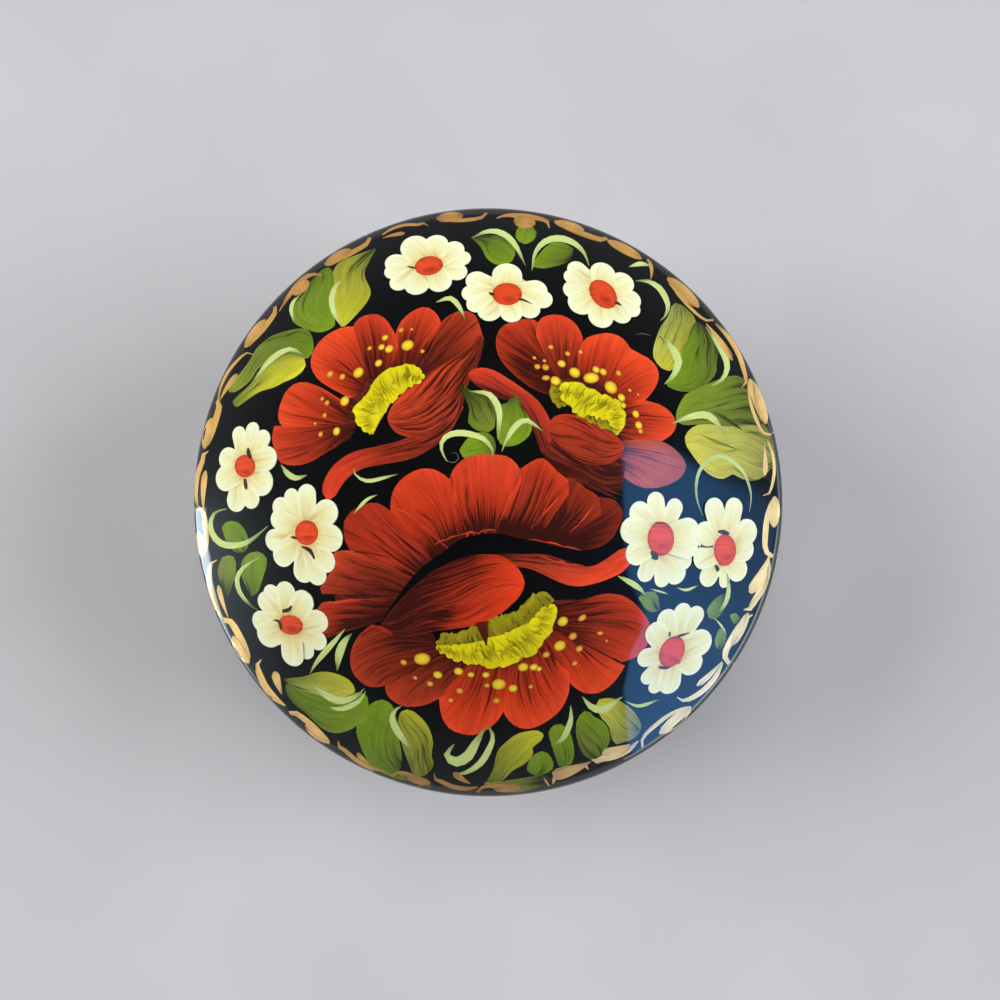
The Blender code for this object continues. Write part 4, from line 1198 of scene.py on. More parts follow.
# Bright lines between its petals, and the ragged ones along the gap
FAN_CREASES = [
    [(-6.6, -7.9, 0.15), (-10, -4.9, 0.6), (-13, -2.4, 0.7), (-15.4, -1, 0.2)],
    [(-12, -12.2, 0.15), (-15.5, -10, 0.5), (-19, -8.6, 0.5), (-22.6, -8.3, 0.2)],
    [(-17.4, -17.4, 0.1), (-20.4, -16.6, 0.4), (-24, -16.6, 0.5), (-27, -17, 0.15)],
    [(-4.4, -3.4, 0.1), (-5.4, -0.4, 0.5), (-6, 2.6, 0.6), (-6.2, 4.4, 0.2)],
]
FAN_EDGES = [
    [(1.4, -4.4, 0.1), (3, -0.8, 0.32), (4.5, 2.8, 0.4), (5.5, 5.6, 0.15)],
    [(7.2, -4.6, 0.1), (9.5, -1.8, 0.34), (12.1, 1, 0.3), (13.6, 3, 0.12)],
    [(13.6, -5.2, 0.1), (15.7, -3.2, 0.28), (18, -0.2, 0.28), (18.8, 0.6, 0.1)],
    [(-9, -7.2, 0.1), (-8, -6.4, 0.34), (-7, -6.3, 0.14), (-5.8, -5.6, 0.38), (-4.6, -5.5, 0.12),
     (-3, -5, 0.4), (-1.8, -5.2, 0.12), (-0.4, -4.6, 0.36), (1.4, -4.7, 0.1)],
    [(-3.4, -4.9, 0.3), (-3.5, -5.7, 0.3), (-3.4, -6.4, 0.08)],
    [(-2.4, -5.2, 0.3), (-2.4, -5.8, 0.2), (-2.5, -6.1, 0.08)],
    [(-1.5, -5, 0.3), (-1.4, -5.7, 0.3), (-1.5, -6.6, 0.08)],
    [(-0.5, -4.8, 0.25), (-0.4, -5.5, 0.2), (-0.5, -5.8, 0.08)],
    [(6.4, -6.4, 0.1), (8, -6.3, 0.32), (9.4, -6.7, 0.12), (11, -6.8, 0.36), (12.4, -7.4, 0.12),
     (14, -7.6, 0.32), (15.6, -8.1, 0.1)],
]
RUNNING_EDGE = [
    (8.2, -9, 0.1), (9.8, -9.3, 0.4), (11, -9.9, 0.16), (12.4, -10, 0.5), (13.4, -10.5, 0.16),
    (14.8, -10.5, 0.5), (16.6, -10.9, 0.12),
]
# The gap, the two edges of the petal that runs to the right below it and of the folded one, the hook at the
# folded one's left end, the notch in the stamens, and the dots of pollen
GAP_LINE = [
    (-18.2, -20.6, 0.1), (-16.6, -18.2, 0.3), (-15, -16, 0.6), (-13.4, -14.2, 1.0), (-11.6, -12.4, 1.5),
    (-9.2, -10.6, 1.9), (-6.6, -9, 2.2), (-3.8, -7.5, 3.1), (0.5, -6.8, 3.3), (4, -7.2, 2.8), (8, -8, 2.8),
    (12, -8.9, 2.8), (16, -9.5, 2.6), (20, -8.6, 2.4), (23.6, -6.8, 0.5),
]
RUNNING_UPPER = [
    (-0.9, -9), (2.9, -8.6), (7.1, -8.6), (10.1, -8.8), (11.5, -9.3), (13.4, -9.9), (15.1, -10.6),
    (17.3, -10.8), (18.9, -10.1), (20.6, -9), (21.8, -8.1), (23.1, -7.6),
]
RUNNING_LOWER = [
    (2, -10.4), (4.8, -10.8), (6.7, -11.1), (9.2, -12.1), (11.3, -13.1), (13.4, -13.9), (15.6, -14.1),
    (18.4, -13.5), (20.6, -12.7), (22.7, -11.6), (24, -10.1),
]
FOLD_UPPER = [
    (-17.9, -20.2), (-16, -17.7), (-14.1, -15.6), (-12.2, -13.8), (-10.2, -12.2), (-8, -10.8), (-5.6, -9.7),
    (-2.8, -8.9), (-0.9, -8.7), (2, -8.9), (3.9, -9.9), (5, -11), (5.8, -12.3), (6.1, -13.3),
]
FOLD_LOWER = [
    (-18, -20.4), (-16.4, -22.2), (-14, -22.9), (-11.9, -22.4), (-8.7, -21.6), (-4.9, -21.1), (-2.4, -20.6),
    (-0.3, -19.9), (1.6, -18.9), (2.9, -18.1), (3.9, -17.1), (5, -16.1), (5.8, -14.8), (6.1, -13.6),
]
FOLD_END = [
    (-15.8, -22.6, 0.1), (-16.6, -21.9, 0.6), (-17.8, -21.2, 0.6), (-19.6, -21.3, 0.3), (-21.4, -22.4, 0.1),
]
NOTCH_LINE = [(-1, -20, 1.9), (-0.8, -21.2, 1.6), (-0.5, -22.6, 0.9), (-0.3, -24, 0.1)]
THIRD_BRIGHT = [
    (-8.5, -29.1, 0.8), (-2.9, -29.1, 0.6), (-0.4, -29.1, 0.65), (1.8, -30.7, 1.2), (4.2, -31.4, 0.8),
    (5.9, -27.8, 0.9), (7.7, -27.8, 0.75), (8.6, -28.1, 0.5), (12.1, -24.2, 1.05), (-5, -28.5, 0.8),
    (12.6, -20.1, 0.95),
]
THIRD_WARM = [
    (-14.2, -26.9, 0.6), (-9.8, -30.6, 0.6), (-12.3, -29.6, 0.4), (-0.2, -30.9, 0.5), (-4.8, -31.8, 0.65),
    (-6.3, -33.4, 0.5), (1.4, -33.5, 0.65), (7.2, -31.1, 0.45), (9.8, -25.7, 0.65), (14.3, -22.6, 0.75),
    (15.4, -24.7, 0.65), (14.6, -27.2, 0.5), (20, -23.4, 0.25),
]


def paint_third_poppy(red, yellow, spots, gap):
    """The large poppy in the middle and below it."""
    # The fan above the dark gap
    lay_petals(red, FAN_PETALS)
    for line in FAN_CREASES:
        curl(red, line, CREASE_RED)
    for line in FAN_EDGES:
        curl(red, line, EDGE_RED)
    curl(gap, GAP_LINE, GAP)
    # The petal that runs to the right below the gap
    band(red, RUNNING_UPPER, RUNNING_LOWER, RUNNING_DEEP, RUNNING_RED)
    curl(red, RUNNING_EDGE, EDGE_RED)
    # The bowl
    lay_petals(red, BOWL_PETALS)
    # Stamens, and the folded petal in front of them
    lay_stamens(yellow, THIRD_STAMENS)
    band(red, FOLD_UPPER, FOLD_LOWER, FOLD_DEEP, FOLD_RED)
    curl(red, FOLD_END, FOLD_END_RED)
    curl(red, NOTCH_LINE, NOTCH)
    put_dots(spots, THIRD_BRIGHT, BRIGHT_DOT)
    put_dots(spots, THIRD_WARM, WARM_DOT)
    dot(spots, -11.1, -26.3, 1.4, BRIGHT_DOT, 0.72, 0)
    dot(spots, 15.9, -19.5, 0.8, WARM_DOT, 0.6, 35)
    dot(spots, 18.9, -22.1, 0.55, WARM_DOT, 0.62, 0)


# How far apart the ruffles and the creases of a tuft are, how finely a ruffle is cut, and the shortest
# crease, as a share of the tuft's width
RUFFLE_STEP = 1.5
CREASE_STEP = 0.62
RUFFLE_POINTS = 15
SHORT_CREASE = 0.14


def paint_stamens(paint, outer, inner, tone, seed, jagged):
    """A tuft of stamens between two edges: the mass of it, ruffles laid over each other out to both edges,
    and fine dark creases that run outwards."""
    rng = np.random.default_rng(seed)
    bright, deep = (np.array(t, float) for t in tone)
    body = tuple(0.6 * bright + 0.4 * deep)
    band(paint, outer, inner, [(0, body, 0.3), (1, body, 0.3)])
    count = max(4, int(length_of(outer) / RUFFLE_STEP))
    first, _ = smooth_line(outer, count)
    second, _ = smooth_line(inner, count)
    for i in rng.permutation(count):
        for here, there, points in ((second[i], first[i], jagged[1]), (first[i], second[i], jagged[0])):
            out = here - there
            turn = math.atan2(out[1], out[0]) + rng.uniform(-0.3, 0.3)
            size = np.hypot(*out) * rng.uniform(0.52, 0.62)
            half = rng.uniform(0.7, 1.0)
            angles = turn + np.linspace(-half, half, RUFFLE_POINTS)
            number = np.arange(RUFFLE_POINTS)
            reach = size * (1 + 0.05 * np.sin(number * 1.4 + rng.uniform(0, 6)))
            reach *= 1 - 0.3 * np.linspace(-1, 1, RUFFLE_POINTS) ** 2
            reach *= 1 + points * ((number * 0.36 + rng.random()) % 1 - 0.4)
            ahead = np.column_stack([np.cos(angles), np.sin(angles)])
            edge = 0.45 * here + 0.55 * there + reach[:, None] * ahead
            shade = rng.uniform(0.92, 1.0)
            tones = [(0, tuple(deep), 0.5), (0.4, tuple(0.5 * (deep + bright) * shade), 0.4),
                     (0.75, tuple(bright * shade), 0.25), (1, tuple(bright * shade), 0.1)]
            petal(paint, [tuple(p) for p in edge], tuple(0.42 * here + 0.58 * there), tones, gather=0.25)
    for _ in range(int(length_of(outer) / CREASE_STEP)):
        t = rng.random() * (count - 1)
        i = int(t)
        a = first[i] + (first[i + 1] - first[i]) * (t - i)
        b = second[i] + (second[i + 1] - second[i]) * (t - i)
        start, end = sorted(rng.uniform(0.06, 0.94, 2))
        bend = np.array([a[1] - b[1], b[0] - a[0]]) * rng.uniform(-0.14, 0.14)
        if end - start < SHORT_CREASE:
            continue
        line = [a + (b - a) * start, a + (b - a) * (start + end) / 2 + bend, a + (b - a) * end]
        comma(paint, line, rng.uniform(0.1, 0.2), [(0, tuple(deep * 0.7), 0.1), (1, tuple(deep * 0.7), 0.1)])


def put_dots(paint, spots, tone):
    """Dots of pollen, each narrowed as the slope of the dome makes it look."""
    for x, y, size in spots:
        away, narrow = squeeze_at(x, y)
        dot(paint, x, y, size, tone, narrow, math.degrees(math.atan2(away[1], away[0])) - 90)


# Each daisy: its middle with the middle's two radii and tilt, then its petals' round ends with their radii
DAISIES = [
    ((-10, 39.9, 2.4, 1.6, 10), [
        (-15.8, 40.5, 1.6), (-16.1, 39, 1.4), (-15, 37.2, 1.6), (-5.2, 38.9, 1.6), (-4.4, 41.2, 1.4),
        (-5.8, 42.6, 1.7), (-12, 36.9, 2.1), (-8.2, 37.3, 2.0), (-8.8, 43.4, 2.0), (-12.4, 43, 2.3)]),
    ((3.2, 35.1, 2.5, 1.9, 0), [
        (-1.9, 37.4, 1.8), (-2.9, 35.3, 1.5), (-2, 33.5, 1.6), (8, 35.8, 1.9), (9.1, 34.3, 1.7),
        (0.2, 32.3, 1.9), (7, 32.6, 1.7), (3.9, 32, 1.8), (3.2, 38.2, 2.4)]),
    ((19.4, 35.1, 2.8, 1.95, -48), [
        (14.2, 38.1, 1.4), (15, 39.3, 1.6), (14.4, 35.9, 1.7), (24, 34.2, 1.8), (24.2, 32.7, 1.5),
        (22.4, 31.9, 1.8), (22.6, 37, 2.0), (15.7, 33.7, 2.2), (19, 31.4, 2.1), (19.3, 38.6, 2.1)]),
    ((-41, 6.1, 1.75, 1.9, 0), [
        (-42.1, 11.5, 1.3), (-39.8, 12.2, 1.3), (-38.1, 10.7, 1.5), (-42.5, 0.4, 1.9), (-40, 0.6, 1.6),
        (-43.9, 7.4, 1.8), (-44.2, 4.1, 2.1), (-38.2, 3.4, 2.2), (-37.4, 7.4, 2.0)]),
    ((-30.5, -5.1, 1.95, 2.1, 0), [
        (-33.2, 0.9, 1.4), (-35, -0.8, 1.6), (-35.3, -2.9, 1.6), (-36, -6.4, 1.8), (-34.6, -8.9, 1.9),
        (-30.6, 1.3, 1.7), (-31.1, -11.6, 1.9), (-28.8, -12.2, 1.7), (-27.5, -9.9, 1.9), (-27.2, -1.7, 2.1),
        (-26.5, -6, 2.2)]),
    ((-33.2, -20.6, 2.1, 1.65, -12), [
        (-36.6, -15.4, 1.5), (-37.4, -16.8, 1.7), (-34.2, -15.2, 1.8), (-38.2, -20.1, 1.8), (-30.8, -25, 1.5),
        (-28.8, -23.2, 1.7), (-36.9, -22.2, 2.2), (-32.9, -25.6, 2.0), (-28.7, -20, 1.9),
        (-31.2, -16.8, 2.0)]),
    ((29, -6.1, 2.25, 2.9, 0), [
        (31.5, -0.9, 1.5), (28.3, 0.1, 1.6), (29.4, -12.9, 1.4), (26.6, -11.9, 1.5), (33, -9.8, 1.5),
        (31.6, -11.9, 1.9), (25.6, -1.8, 1.9), (25, -8.5, 2.0), (33.4, -7.3, 2.1), (24.3, -4.7, 2.2),
        (33.5, -4.9, 2.2)]),
    ((39.8, -8, 1.85, 2.65, 0), [
        (39.9, -13.4, 1.0), (37.2, -12.5, 1.7), (42.1, -11.4, 1.9), (43.2, -8, 1.9), (36.2, -9.3, 1.9),
        (36.5, -5.4, 2.1), (38, -1.1, 1.8), (41.3, -1, 1.7), (43.4, -5, 2.1)]),
    ((31, -25.2, 2.0, 2.8, -28), [
        (35, -19.1, 1.6), (32.8, -18.6, 1.6), (30.2, -19.8, 1.8), (27, -29.5, 1.3), (28.2, -31.1, 1.2),
        (30.6, -30.4, 2.0), (26.7, -26.2, 1.6), (28.4, -22.1, 2.0), (34.2, -27.1, 2.1), (35.6, -23.7, 2.3)]),
]
# How much larger than a daisy's middle the dab below its petals is
BED_SIZE = 1.75
# Dark ticks of the brush beside the daisies' middles
TICKS = [
    [(-13.6, 39.8, 0.1), (-12.8, 39.6, 0.3), (-12.2, 39.5, 0.1)],
    [(0.1, 35.4, 0.12), (0.6, 35.1, 0.5), (1.1, 35, 0.2)],
    [(5.2, 34.3, 0.4), (6.2, 34, 0.3), (7.4, 33.4, 0.06)],
    [(21.4, 33.8, 0.5), (22, 33.5, 0.4), (22.5, 33.2, 0.1)],
    [(-40.5, 9.2, 0.2), (-40.4, 8.3, 0.7), (-40, 7.4, 0.5)],
    [(-41, 4, 0.4), (-40.9, 3, 0.6), (-40.8, 2.2, 0.3)],
    [(-33.2, -5.8, 0.12), (-32.7, -5.9, 0.4), (-32.2, -6.1, 0.2)],
    [(-31.4, -7.4, 0.2), (-30.2, -7.9, 0.7), (-29.6, -8.6, 0.5), (-29.2, -9.5, 0.25)],
    [(-34.6, -18.3, 0.5), (-33.6, -18.1, 0.7), (-33, -17.4, 0.3)],
    [(-36.2, -19.8, 0.1), (-35.4, -19.9, 0.4), (-34.8, -20.6, 0.5), (-34.9, -21.4, 0.3)],
    [(27.4, -8.2, 0.4), (28, -8.9, 1.1), (28.4, -9.6, 0.5)],
    [(38.6, -4.9, 0.3), (39.5, -5, 0.8), (40.5, -5.3, 0.4)],
    [(35.7, -7.3, 0.5), (36.7, -7.5, 0.2), (37.8, -7.4, 0.3)],
    [(38.4, -10.6, 0.3), (38.7, -11.2, 0.4), (38.6, -11.6, 0.1)], [(30.6, -21.8, 0.3), (30.6, -22.6, 0.3)],
    [(32, -22.6, 0.4), (33, -22.3, 0.3), (34, -22, 0.08)],
    [(28.8, -27.8, 0.4), (29.9, -27.9, 0.5), (30.8, -27.7, 0.2)],
]


def paint_daisies(white, hearts):
    for (x, y, wide, high, tilt), petals in DAISIES:
        dot(white, x, y, BED_SIZE * wide, CREAM_BED, high / wide, tilt)
        for across, up, size in petals:
            daisy_petal(white, (x, y), (across, up), size, CREAM)
        dot(hearts, x, y, wide, HEART, high / wide, tilt)
        dot(hearts, x + 0.3, y - 0.45 * high, 0.62 * wide, LOW_HEART, 0.5, tilt)
    for line in TICKS:
        curl(hearts, line, TICK)


# How much wider the highlights are laid, and the line of each, how wide it is at its fullest, and its tone
# where that isn't the pale one
HIGHLIGHT_GROWTH = 1.1
HIGHLIGHTS = [
    ([(-24.7, 29.6), (-26, 32), (-26.4, 34.5), (-25.5, 36.8), (-24, 37.6)], 0.9),
    ([(-32.8, 30.4), (-33.3, 32.5), (-32.8, 34), (-31.5, 35.2)], 0.6),
    ([(-30.8, 24.4), (-32.1, 25.4), (-33.4, 25.9), (-35, 25.3), (-36.7, 24.1), (-38.2, 22.4),
      (-39.5, 20.4)], 0.85),
    ([(-2.8, 44.7), (0, 45.8), (2.5, 45.4), (4.5, 43.6), (6.3, 40)], 0.9),
    ([(7.4, 39.2), (7.9, 42), (9.5, 44), (12, 44.6), (14.5, 43.8), (16.3, 42), (17, 40)], 1.0),
    ([(-8.8, 33.8), (-6.5, 34.5), (-5, 33.2), (-3.9, 30.9)], 0.8),
    ([(23.8, 39.8), (25.7, 40.3), (27.4, 40)], 0.7),
    ([(24.9, 37.4), (26.8, 37.4), (28.7, 36.4), (29.9, 34.7), (30.4, 33), (29.9, 31.5), (29.1, 30.7)], 0.9),
    ([(24.8, 28.3), (26, 28.5), (27.5, 28.2)], 0.12, HAIRLINE),
    ([(29.8, 20), (31.1, 21.2), (31.9, 22.7), (32.1, 24), (31.3, 25.7), (30, 27.1), (28.8, 28.2)], 1.2),
    ([(37.4, 19.6), (39.1, 20.4), (40.2, 21.9), (40.3, 23.6), (39.5, 25.5), (38.3, 27.4), (36.8, 29.7)],
     0.9),
    ([(31.1, 13.3), (33, 14.1), (35.1, 14.7), (37, 14.7), (38.3, 13.8), (39.3, 12.6), (40, 11.4)], 1.1),
    ([(36.2, -2.3), (35.3, 0.3), (35.1, 2.6), (35.5, 4.9), (36.6, 6.6), (38.3, 7.7), (40, 7.7), (41.6, 6.6),
      (43.1, 5.1), (44, 3), (44.4, 0.9), (44.1, -1.6)], 0.62, FAINT),
    ([(-7.7, 8.4), (-7, 7.1), (-5.8, 6.7), (-5, 7.4), (-5.4, 8.4), (-6.4, 8.2)], 0.14, HAIRLINE),
    ([(21.8, -12.4), (24, -13.5), (25.8, -14.8), (26.3, -15.8)], 0.9),
    ([(27.3, -14.6), (29.5, -15.2), (30.6, -15.6)], 0.3),
    ([(31.9, -14.4), (33.5, -14.8), (35.5, -14)], 0.45),
    ([(40.4, -12), (40.6, -15), (39.8, -17.5), (38.3, -19)], 0.7),
    ([(38.2, -19.5), (39.5, -21), (40.3, -22.5)], 0.3),
    ([(15.9, -32.8), (17.5, -34.6), (19.5, -35), (21, -34), (22.7, -32.8)], 1.2),
    ([(23.2, -33.6), (25.5, -34.4), (28.8, -33.3)], 0.5),
    ([(13.9, -34.3), (14, -36.4), (13.4, -38.5), (12.3, -40.2), (10.6, -41.1)], 0.9),
    ([(-5.7, -40.8), (-7, -42.6), (-5.5, -43.8), (-3.5, -42.9), (-2.3, -41), (-0.5, -38)], 1.6),
    ([(-0.3, -37.3), (0.8, -39.5), (0, -42), (-1.5, -44.2), (-4, -45.7), (-6, -45.8)], 1.0),
    ([(-24.1, -21.3), (-25.6, -23.1), (-27.3, -25), (-29, -27.1), (-30, -28.8)], 0.9),
    ([(-29.9, -30.3), (-28.8, -31.5), (-27.3, -32.6), (-25.6, -33.4), (-24, -33.4), (-22.1, -32.6),
      (-20.9, -31.4)], 1.1),
    ([(-20.7, -31.9), (-21.6, -33.4), (-23.5, -34.5), (-25.2, -34.9), (-27.3, -34.5)], 0.8),
    ([(-23, -22.1), (-24.4, -23.7), (-25.2, -25.8), (-25.5, -28.4)], 1.3),
    ([(-14.7, -34.4), (-15.9, -35.3), (-16.2, -36.6), (-15.5, -38.3), (-14.2, -40.2), (-12.8, -41.9)], 1.1),
    ([(-44.2, -1.1), (-46.1, -1.7), (-46.9, -3.4), (-46.5, -5.5), (-45, -7), (-42.9, -7.3), (-40.8, -6.8),
      (-38.9, -5.5), (-37.2, -4)], 1.0),
    ([(-38.6, -9.3), (-40.2, -10.2), (-41.7, -11.4), (-42.4, -13.1), (-41.9, -15.2), (-40.4, -17.1),
      (-38.9, -18.2)], 0.7),
    ([(-35, 6.4), (-33.8, 4.8), (-32.4, 4.1), (-30.6, 4.6)], 0.9),
    ([(-22.7, 5.8), (-22.5, 4.8), (-21.4, 3.9), (-20, 3.6), (-17.8, 4.1), (-15.2, 4.8)], 0.6),
    ([(-18.6, 1.3), (-20.2, 0.6), (-21.4, -0.5), (-22.6, -1.9)], 0.5),
    ([(-3.1, 18.7), (-1.5, 18.6), (0, 18.3), (1.1, 17.2), (1.8, 15.7), (1.9, 13.6), (1.6, 10.7)], 1.0),
    ([(2.3, 8.6), (3, 10.2), (4, 12.1), (5.3, 13.5), (6.6, 13.8), (7.6, 13.2), (9.2, 12)], 0.9),
    ([(-6.9, 6.9), (-7.8, 8.6), (-7.8, 10.2), (-6.7, 11.3), (-4.8, 11.7), (-2.7, 11.4), (-0.8, 10.7),
      (0.4, 9.4), (0.9, 8.1), (0.3, 7)], 0.95),
]


def paint_highlights():
    pale = Paint("leaf_highlights", pale_paint)
    for line, width, *tone in HIGHLIGHTS:
        comma(pale, line, width * HIGHLIGHT_GROWTH, tone[0] if tone else PALE)
    return pale


# The gold border, in degrees anticlockwise from the right and millimetres in from the rim. A hook curls up
# to the rim at its start and holds a bean at its end: start, end, how far in it reaches, how wide its arm
# is, and the bean's start, place and half width.
HOOKS = [
    (13.5, 25.3, 2.9, 0.45, 15.8, 1.25, 0.95), (39.1, 51.4, 2.8, 0.4, 42.8, 1.5, 0.95),
    (65.8, 76.7, 2.3, 0.8, 70.6, 1.3, 0.7), (90.3, 100.3, 2.4, 0.5, 95.0, 1.35, 0.8),
    (114.1, 124.5, 2.3, 0.7, 118.5, 1.4, 0.8), (137.4, 147.5, 2.4, 0.75, 140.6, 1.35, 0.8),
    (159.4, 169.3, 2.4, 0.95, 163.0, 1.2, 0.75), (181.1, 190.8, 2.5, 0.8, 185.7, 0.9, 0.75),
    (204.0, 213.9, 2.8, 1.05, 207.6, 1.3, 0.85), (226.7, 236.6, 2.4, 0.8, 230.6, 1.35, 0.75),
    (250.6, 258.4, 2.4, 0.5, 253.6, 1.6, 0.65), (267.9, 276.6, 2.4, 0.5, 271.1, 1.6, 0.65),
    (302.3, 314.8, 3.2, 0.55, 306.5, 1.4, 0.95), (326.3, 337.0, 3.3, 0.95, 329.5, 2.3, 0.75),
    (349.3, 361.2, 3.3, 0.85, 355.0, 1.6, 0.9),
]
# An arch with a comma below it: start, end, how far in its tail and its top lie and its width, then the
# comma's full end and thin end, each with its place, and its width
ARCHES = [
    (1.4, 12.4, 3.6, 1.2, 0.5, 5.5, 3.1, 11.8, 2.4, 0.8),
    (24.4, 38.2, 3.0, 0.7, 0.75, 30.2, 2.3, 39.4, 2.4, 0.95),
    (102.2, 111.6, 2.2, 0.9, 0.45, 107.2, 2.4, 111.8, 1.9, 0.6),
    (147.8, 159.3, 3.1, 0.7, 0.45, 152.9, 2.4, 159.2, 1.5, 0.85),
    (169.6, 181.0, 2.0, 0.5, 0.8, 173.6, 2.0, 182.0, 1.9, 0.95),
    (192.0, 203.9, 3.2, 0.6, 0.9, 197.1, 2.3, 203.8, 2.0, 0.8),
    (214.7, 225.1, 3.4, 1.0, 1.1, 218.4, 4.0, 223.0, 2.4, 1.3),
    (237.8, 249.0, 2.4, 0.9, 0.7, 242.4, 2.2, 245.6, 1.6, 0.7),
    (258.7, 268.0, 3.3, 1.4, 0.75, 262.7, 4.0, 266.4, 2.4, 1.0),
    (291.8, 302.2, 3.2, 1.9, 1.1, 294.4, 3.4, 300.4, 2.6, 1.4),
    (314.1, 325.6, 4.2, 1.5, 0.85, 318.7, 3.1, 325.8, 2.2, 0.9),
    (337.2, 349.2, 3.2, 1.3, 1.1, 340.9, 3.2, 349.2, 1.6, 1.7),
]
# The single strokes between them, with the width at each point, and single beans
SINGLE_STROKES = [
    [(56.8, 0.9, 0.3), (55.6, 1.4, 0.6), (54.6, 2.3, 0.5), (53.9, 3.4, 0.12)],
    [(88.3, 2.0, 0.15), (86.4, 1.4, 0.5), (83, 1.3, 0.9), (79.5, 1.3, 0.7), (78, 1.6, 0.6),
     (77.4, 2.5, 0.25)],
    [(137.6, 2.2, 0.15), (134.5, 1.6, 0.6), (131, 1.1, 0.8), (128, 1.2, 0.6), (126.2, 2.4, 0.2)],
    [(291.6, 2.9, 0.15), (289, 2.7, 1.1), (286, 2.6, 1.9), (284, 2.6, 1.9), (283.3, 2.6, 1.2)],
    [(283.6, 2.2, 0.7), (283.2, 1.6, 0.5), (282.9, 1.2, 0.12)],
    [(290.2, 2.7, 0.6), (290.5, 2.1, 0.3), (290.6, 1.8, 0.1)],
    [(282.2, 0.9, 0.12), (281.8, 1.7, 0.4), (281.4, 2.6, 0.12)],
]
SINGLE_BEANS = [(57.8, 65.5, 1.4, 0.75), (80.4, 84.8, 2.2, 1.15), (129.0, 133.2, 1.9, 0.85)]


def around(angle, inset):
    """A place in the border, from its direction and how far it is in from the rim."""
    turn = math.radians(angle)
    return (LID_RADIUS - inset) * math.cos(turn), (LID_RADIUS - inset) * math.sin(turn)


# How far along a bean its widths are given, and how wide the comma below an arch is along its way
BEAN_SHARES = [0, 0.05, 0.14, 0.3, 0.5, 0.7, 0.86, 0.95, 1]
COMMA_WIDTHS = [(0, 0.3), (0.05, 0.8), (0.14, 0.97), (0.3, 1.0), (0.6, 0.7), (1, 0.12)]
# Gold tones round the lid with painted light and painted reflection: bright at the sides, dull top and bottom
GOLD_PAINTED_LIGHT = [
    (0, (255, 226, 160)), (35, (226, 178, 104)), (60, (208, 158, 84)), (90, (192, 142, 76)),
    (125, (198, 146, 78)), (165, (232, 184, 104)), (190, (255, 216, 134)), (215, (255, 216, 134)),
    (234, (248, 202, 126)), (250, (178, 132, 78)), (275, (180, 134, 82)), (300, (255, 230, 176)),
    (322, (255, 243, 202)), (342, (255, 230, 164)), (360, (255, 226, 160)),
]


# The gold's tones at one direction round the lid, carrying the painted light and painted reflection there
def gold_tones_with_painted_light(angle):
    places = [g[0] for g in GOLD_PAINTED_LIGHT]
    body = np.array([np.interp(angle % 360, places, [g[1][i] for g in GOLD_PAINTED_LIGHT]) for i in range(3)])
    return [(0, tuple(0.9 * body), 0.25), (0.4, tuple(body), 0.05), (1, tuple(0.9 * body), 0.25)]


def border_stroke(gold, points):
    line = [(*around(angle, inset), width) for angle, inset, width in points]
    curl(gold, line, gold_tones_with_painted_light(points[len(points) // 2][0]))


def bean(gold, start, end, inset, half):
    """A round-ended dab along the border."""
    widths = [(t, 2 * half * math.sqrt(1 - 0.97 * (2 * t - 1) ** 2)) for t in BEAN_SHARES]
    border_stroke(gold, [(start + (end - start) * t, inset, width) for t, width in widths])


def paint_border():
    gold = Paint("gold_border", gold_paint)
    for start, end, low, arm, bean_start, bean_inset, half in HOOKS:
        span = end - start
        points = [(start + 0.03 * span, 0.1, 0.6 * arm), (start, 0.45 * low, 0.85 * arm),
                  (start + 0.1 * span, 0.82 * low - 0.2 * arm, arm),
                  (start + 0.36 * span, low - 0.5 * arm, arm + 0.1),
                  (start + 0.66 * span, low - 0.5 * arm - 0.1, arm + 0.05),
                  (start + 0.9 * span, 0.65 * low, 0.6 * arm), (end, 0.45 * low, 0.15)]
        border_stroke(gold, points)
        bean(gold, bean_start, end, bean_inset, half)
    for start, end, tail, top, width, full, full_inset, thin, thin_inset, low_width in ARCHES:
        span = end - start
        points = [(start, tail, 0.12), (start + 0.04 * span, 0.55 * tail + 0.45 * top, 0.6 * width),
                  (start + 0.2 * span, top + 0.75, 0.95 * width), (start + 0.45 * span, top + 0.2, width),
                  (start + 0.75 * span, top + 0.1, 0.9 * width), (end, top + 0.5, 0.2)]
        border_stroke(gold, points)
        points = [(full + (thin - full) * t, full_inset + (thin_inset - full_inset) * t - 0.3 * t * (1 - t),
                   low_width * w) for t, w in COMMA_WIDTHS]
        border_stroke(gold, points)
    for points in SINGLE_STROKES:
        border_stroke(gold, points)
    for start, end, inset, half in SINGLE_BEANS:
        bean(gold, start, end, inset, half)
    return gold


# The pieces

lid_points, lid_inside = lid_profile()
wall_points, wall_inside = wall_profile()
turned("lid_turned", lid_points, "lid", "lid", [lid_black, inside_red], lid_inside)
turned("wall_turned", wall_points, "box", "box_wall", [wall_black, inside_red], wall_inside)
turned("collar_turned", collar_profile(), "box", "lid_collar", [collar_red])
floor_points = disc_profile(DISC_RADIUS, FLOOR_BOTTOM, FLOOR_TOP, FLOOR_RINGS)
turned("floor_disc", floor_points, "box", "box_floor", [floor_wood])
lining_points = disc_profile(LINING_RADIUS, LEDGE_HEIGHT, LINING_TOP, LINING_RINGS)
lining = turned("lining_felt_disc", lining_points, "box", "floor_lining", [lining_red])
pad_points = disc_profile(DISC_RADIUS, 0.0, PAD_TOP, PAD_RINGS)
pad = turned("pad_felt_disc", pad_points, "box", "base_pad", [pad_black])

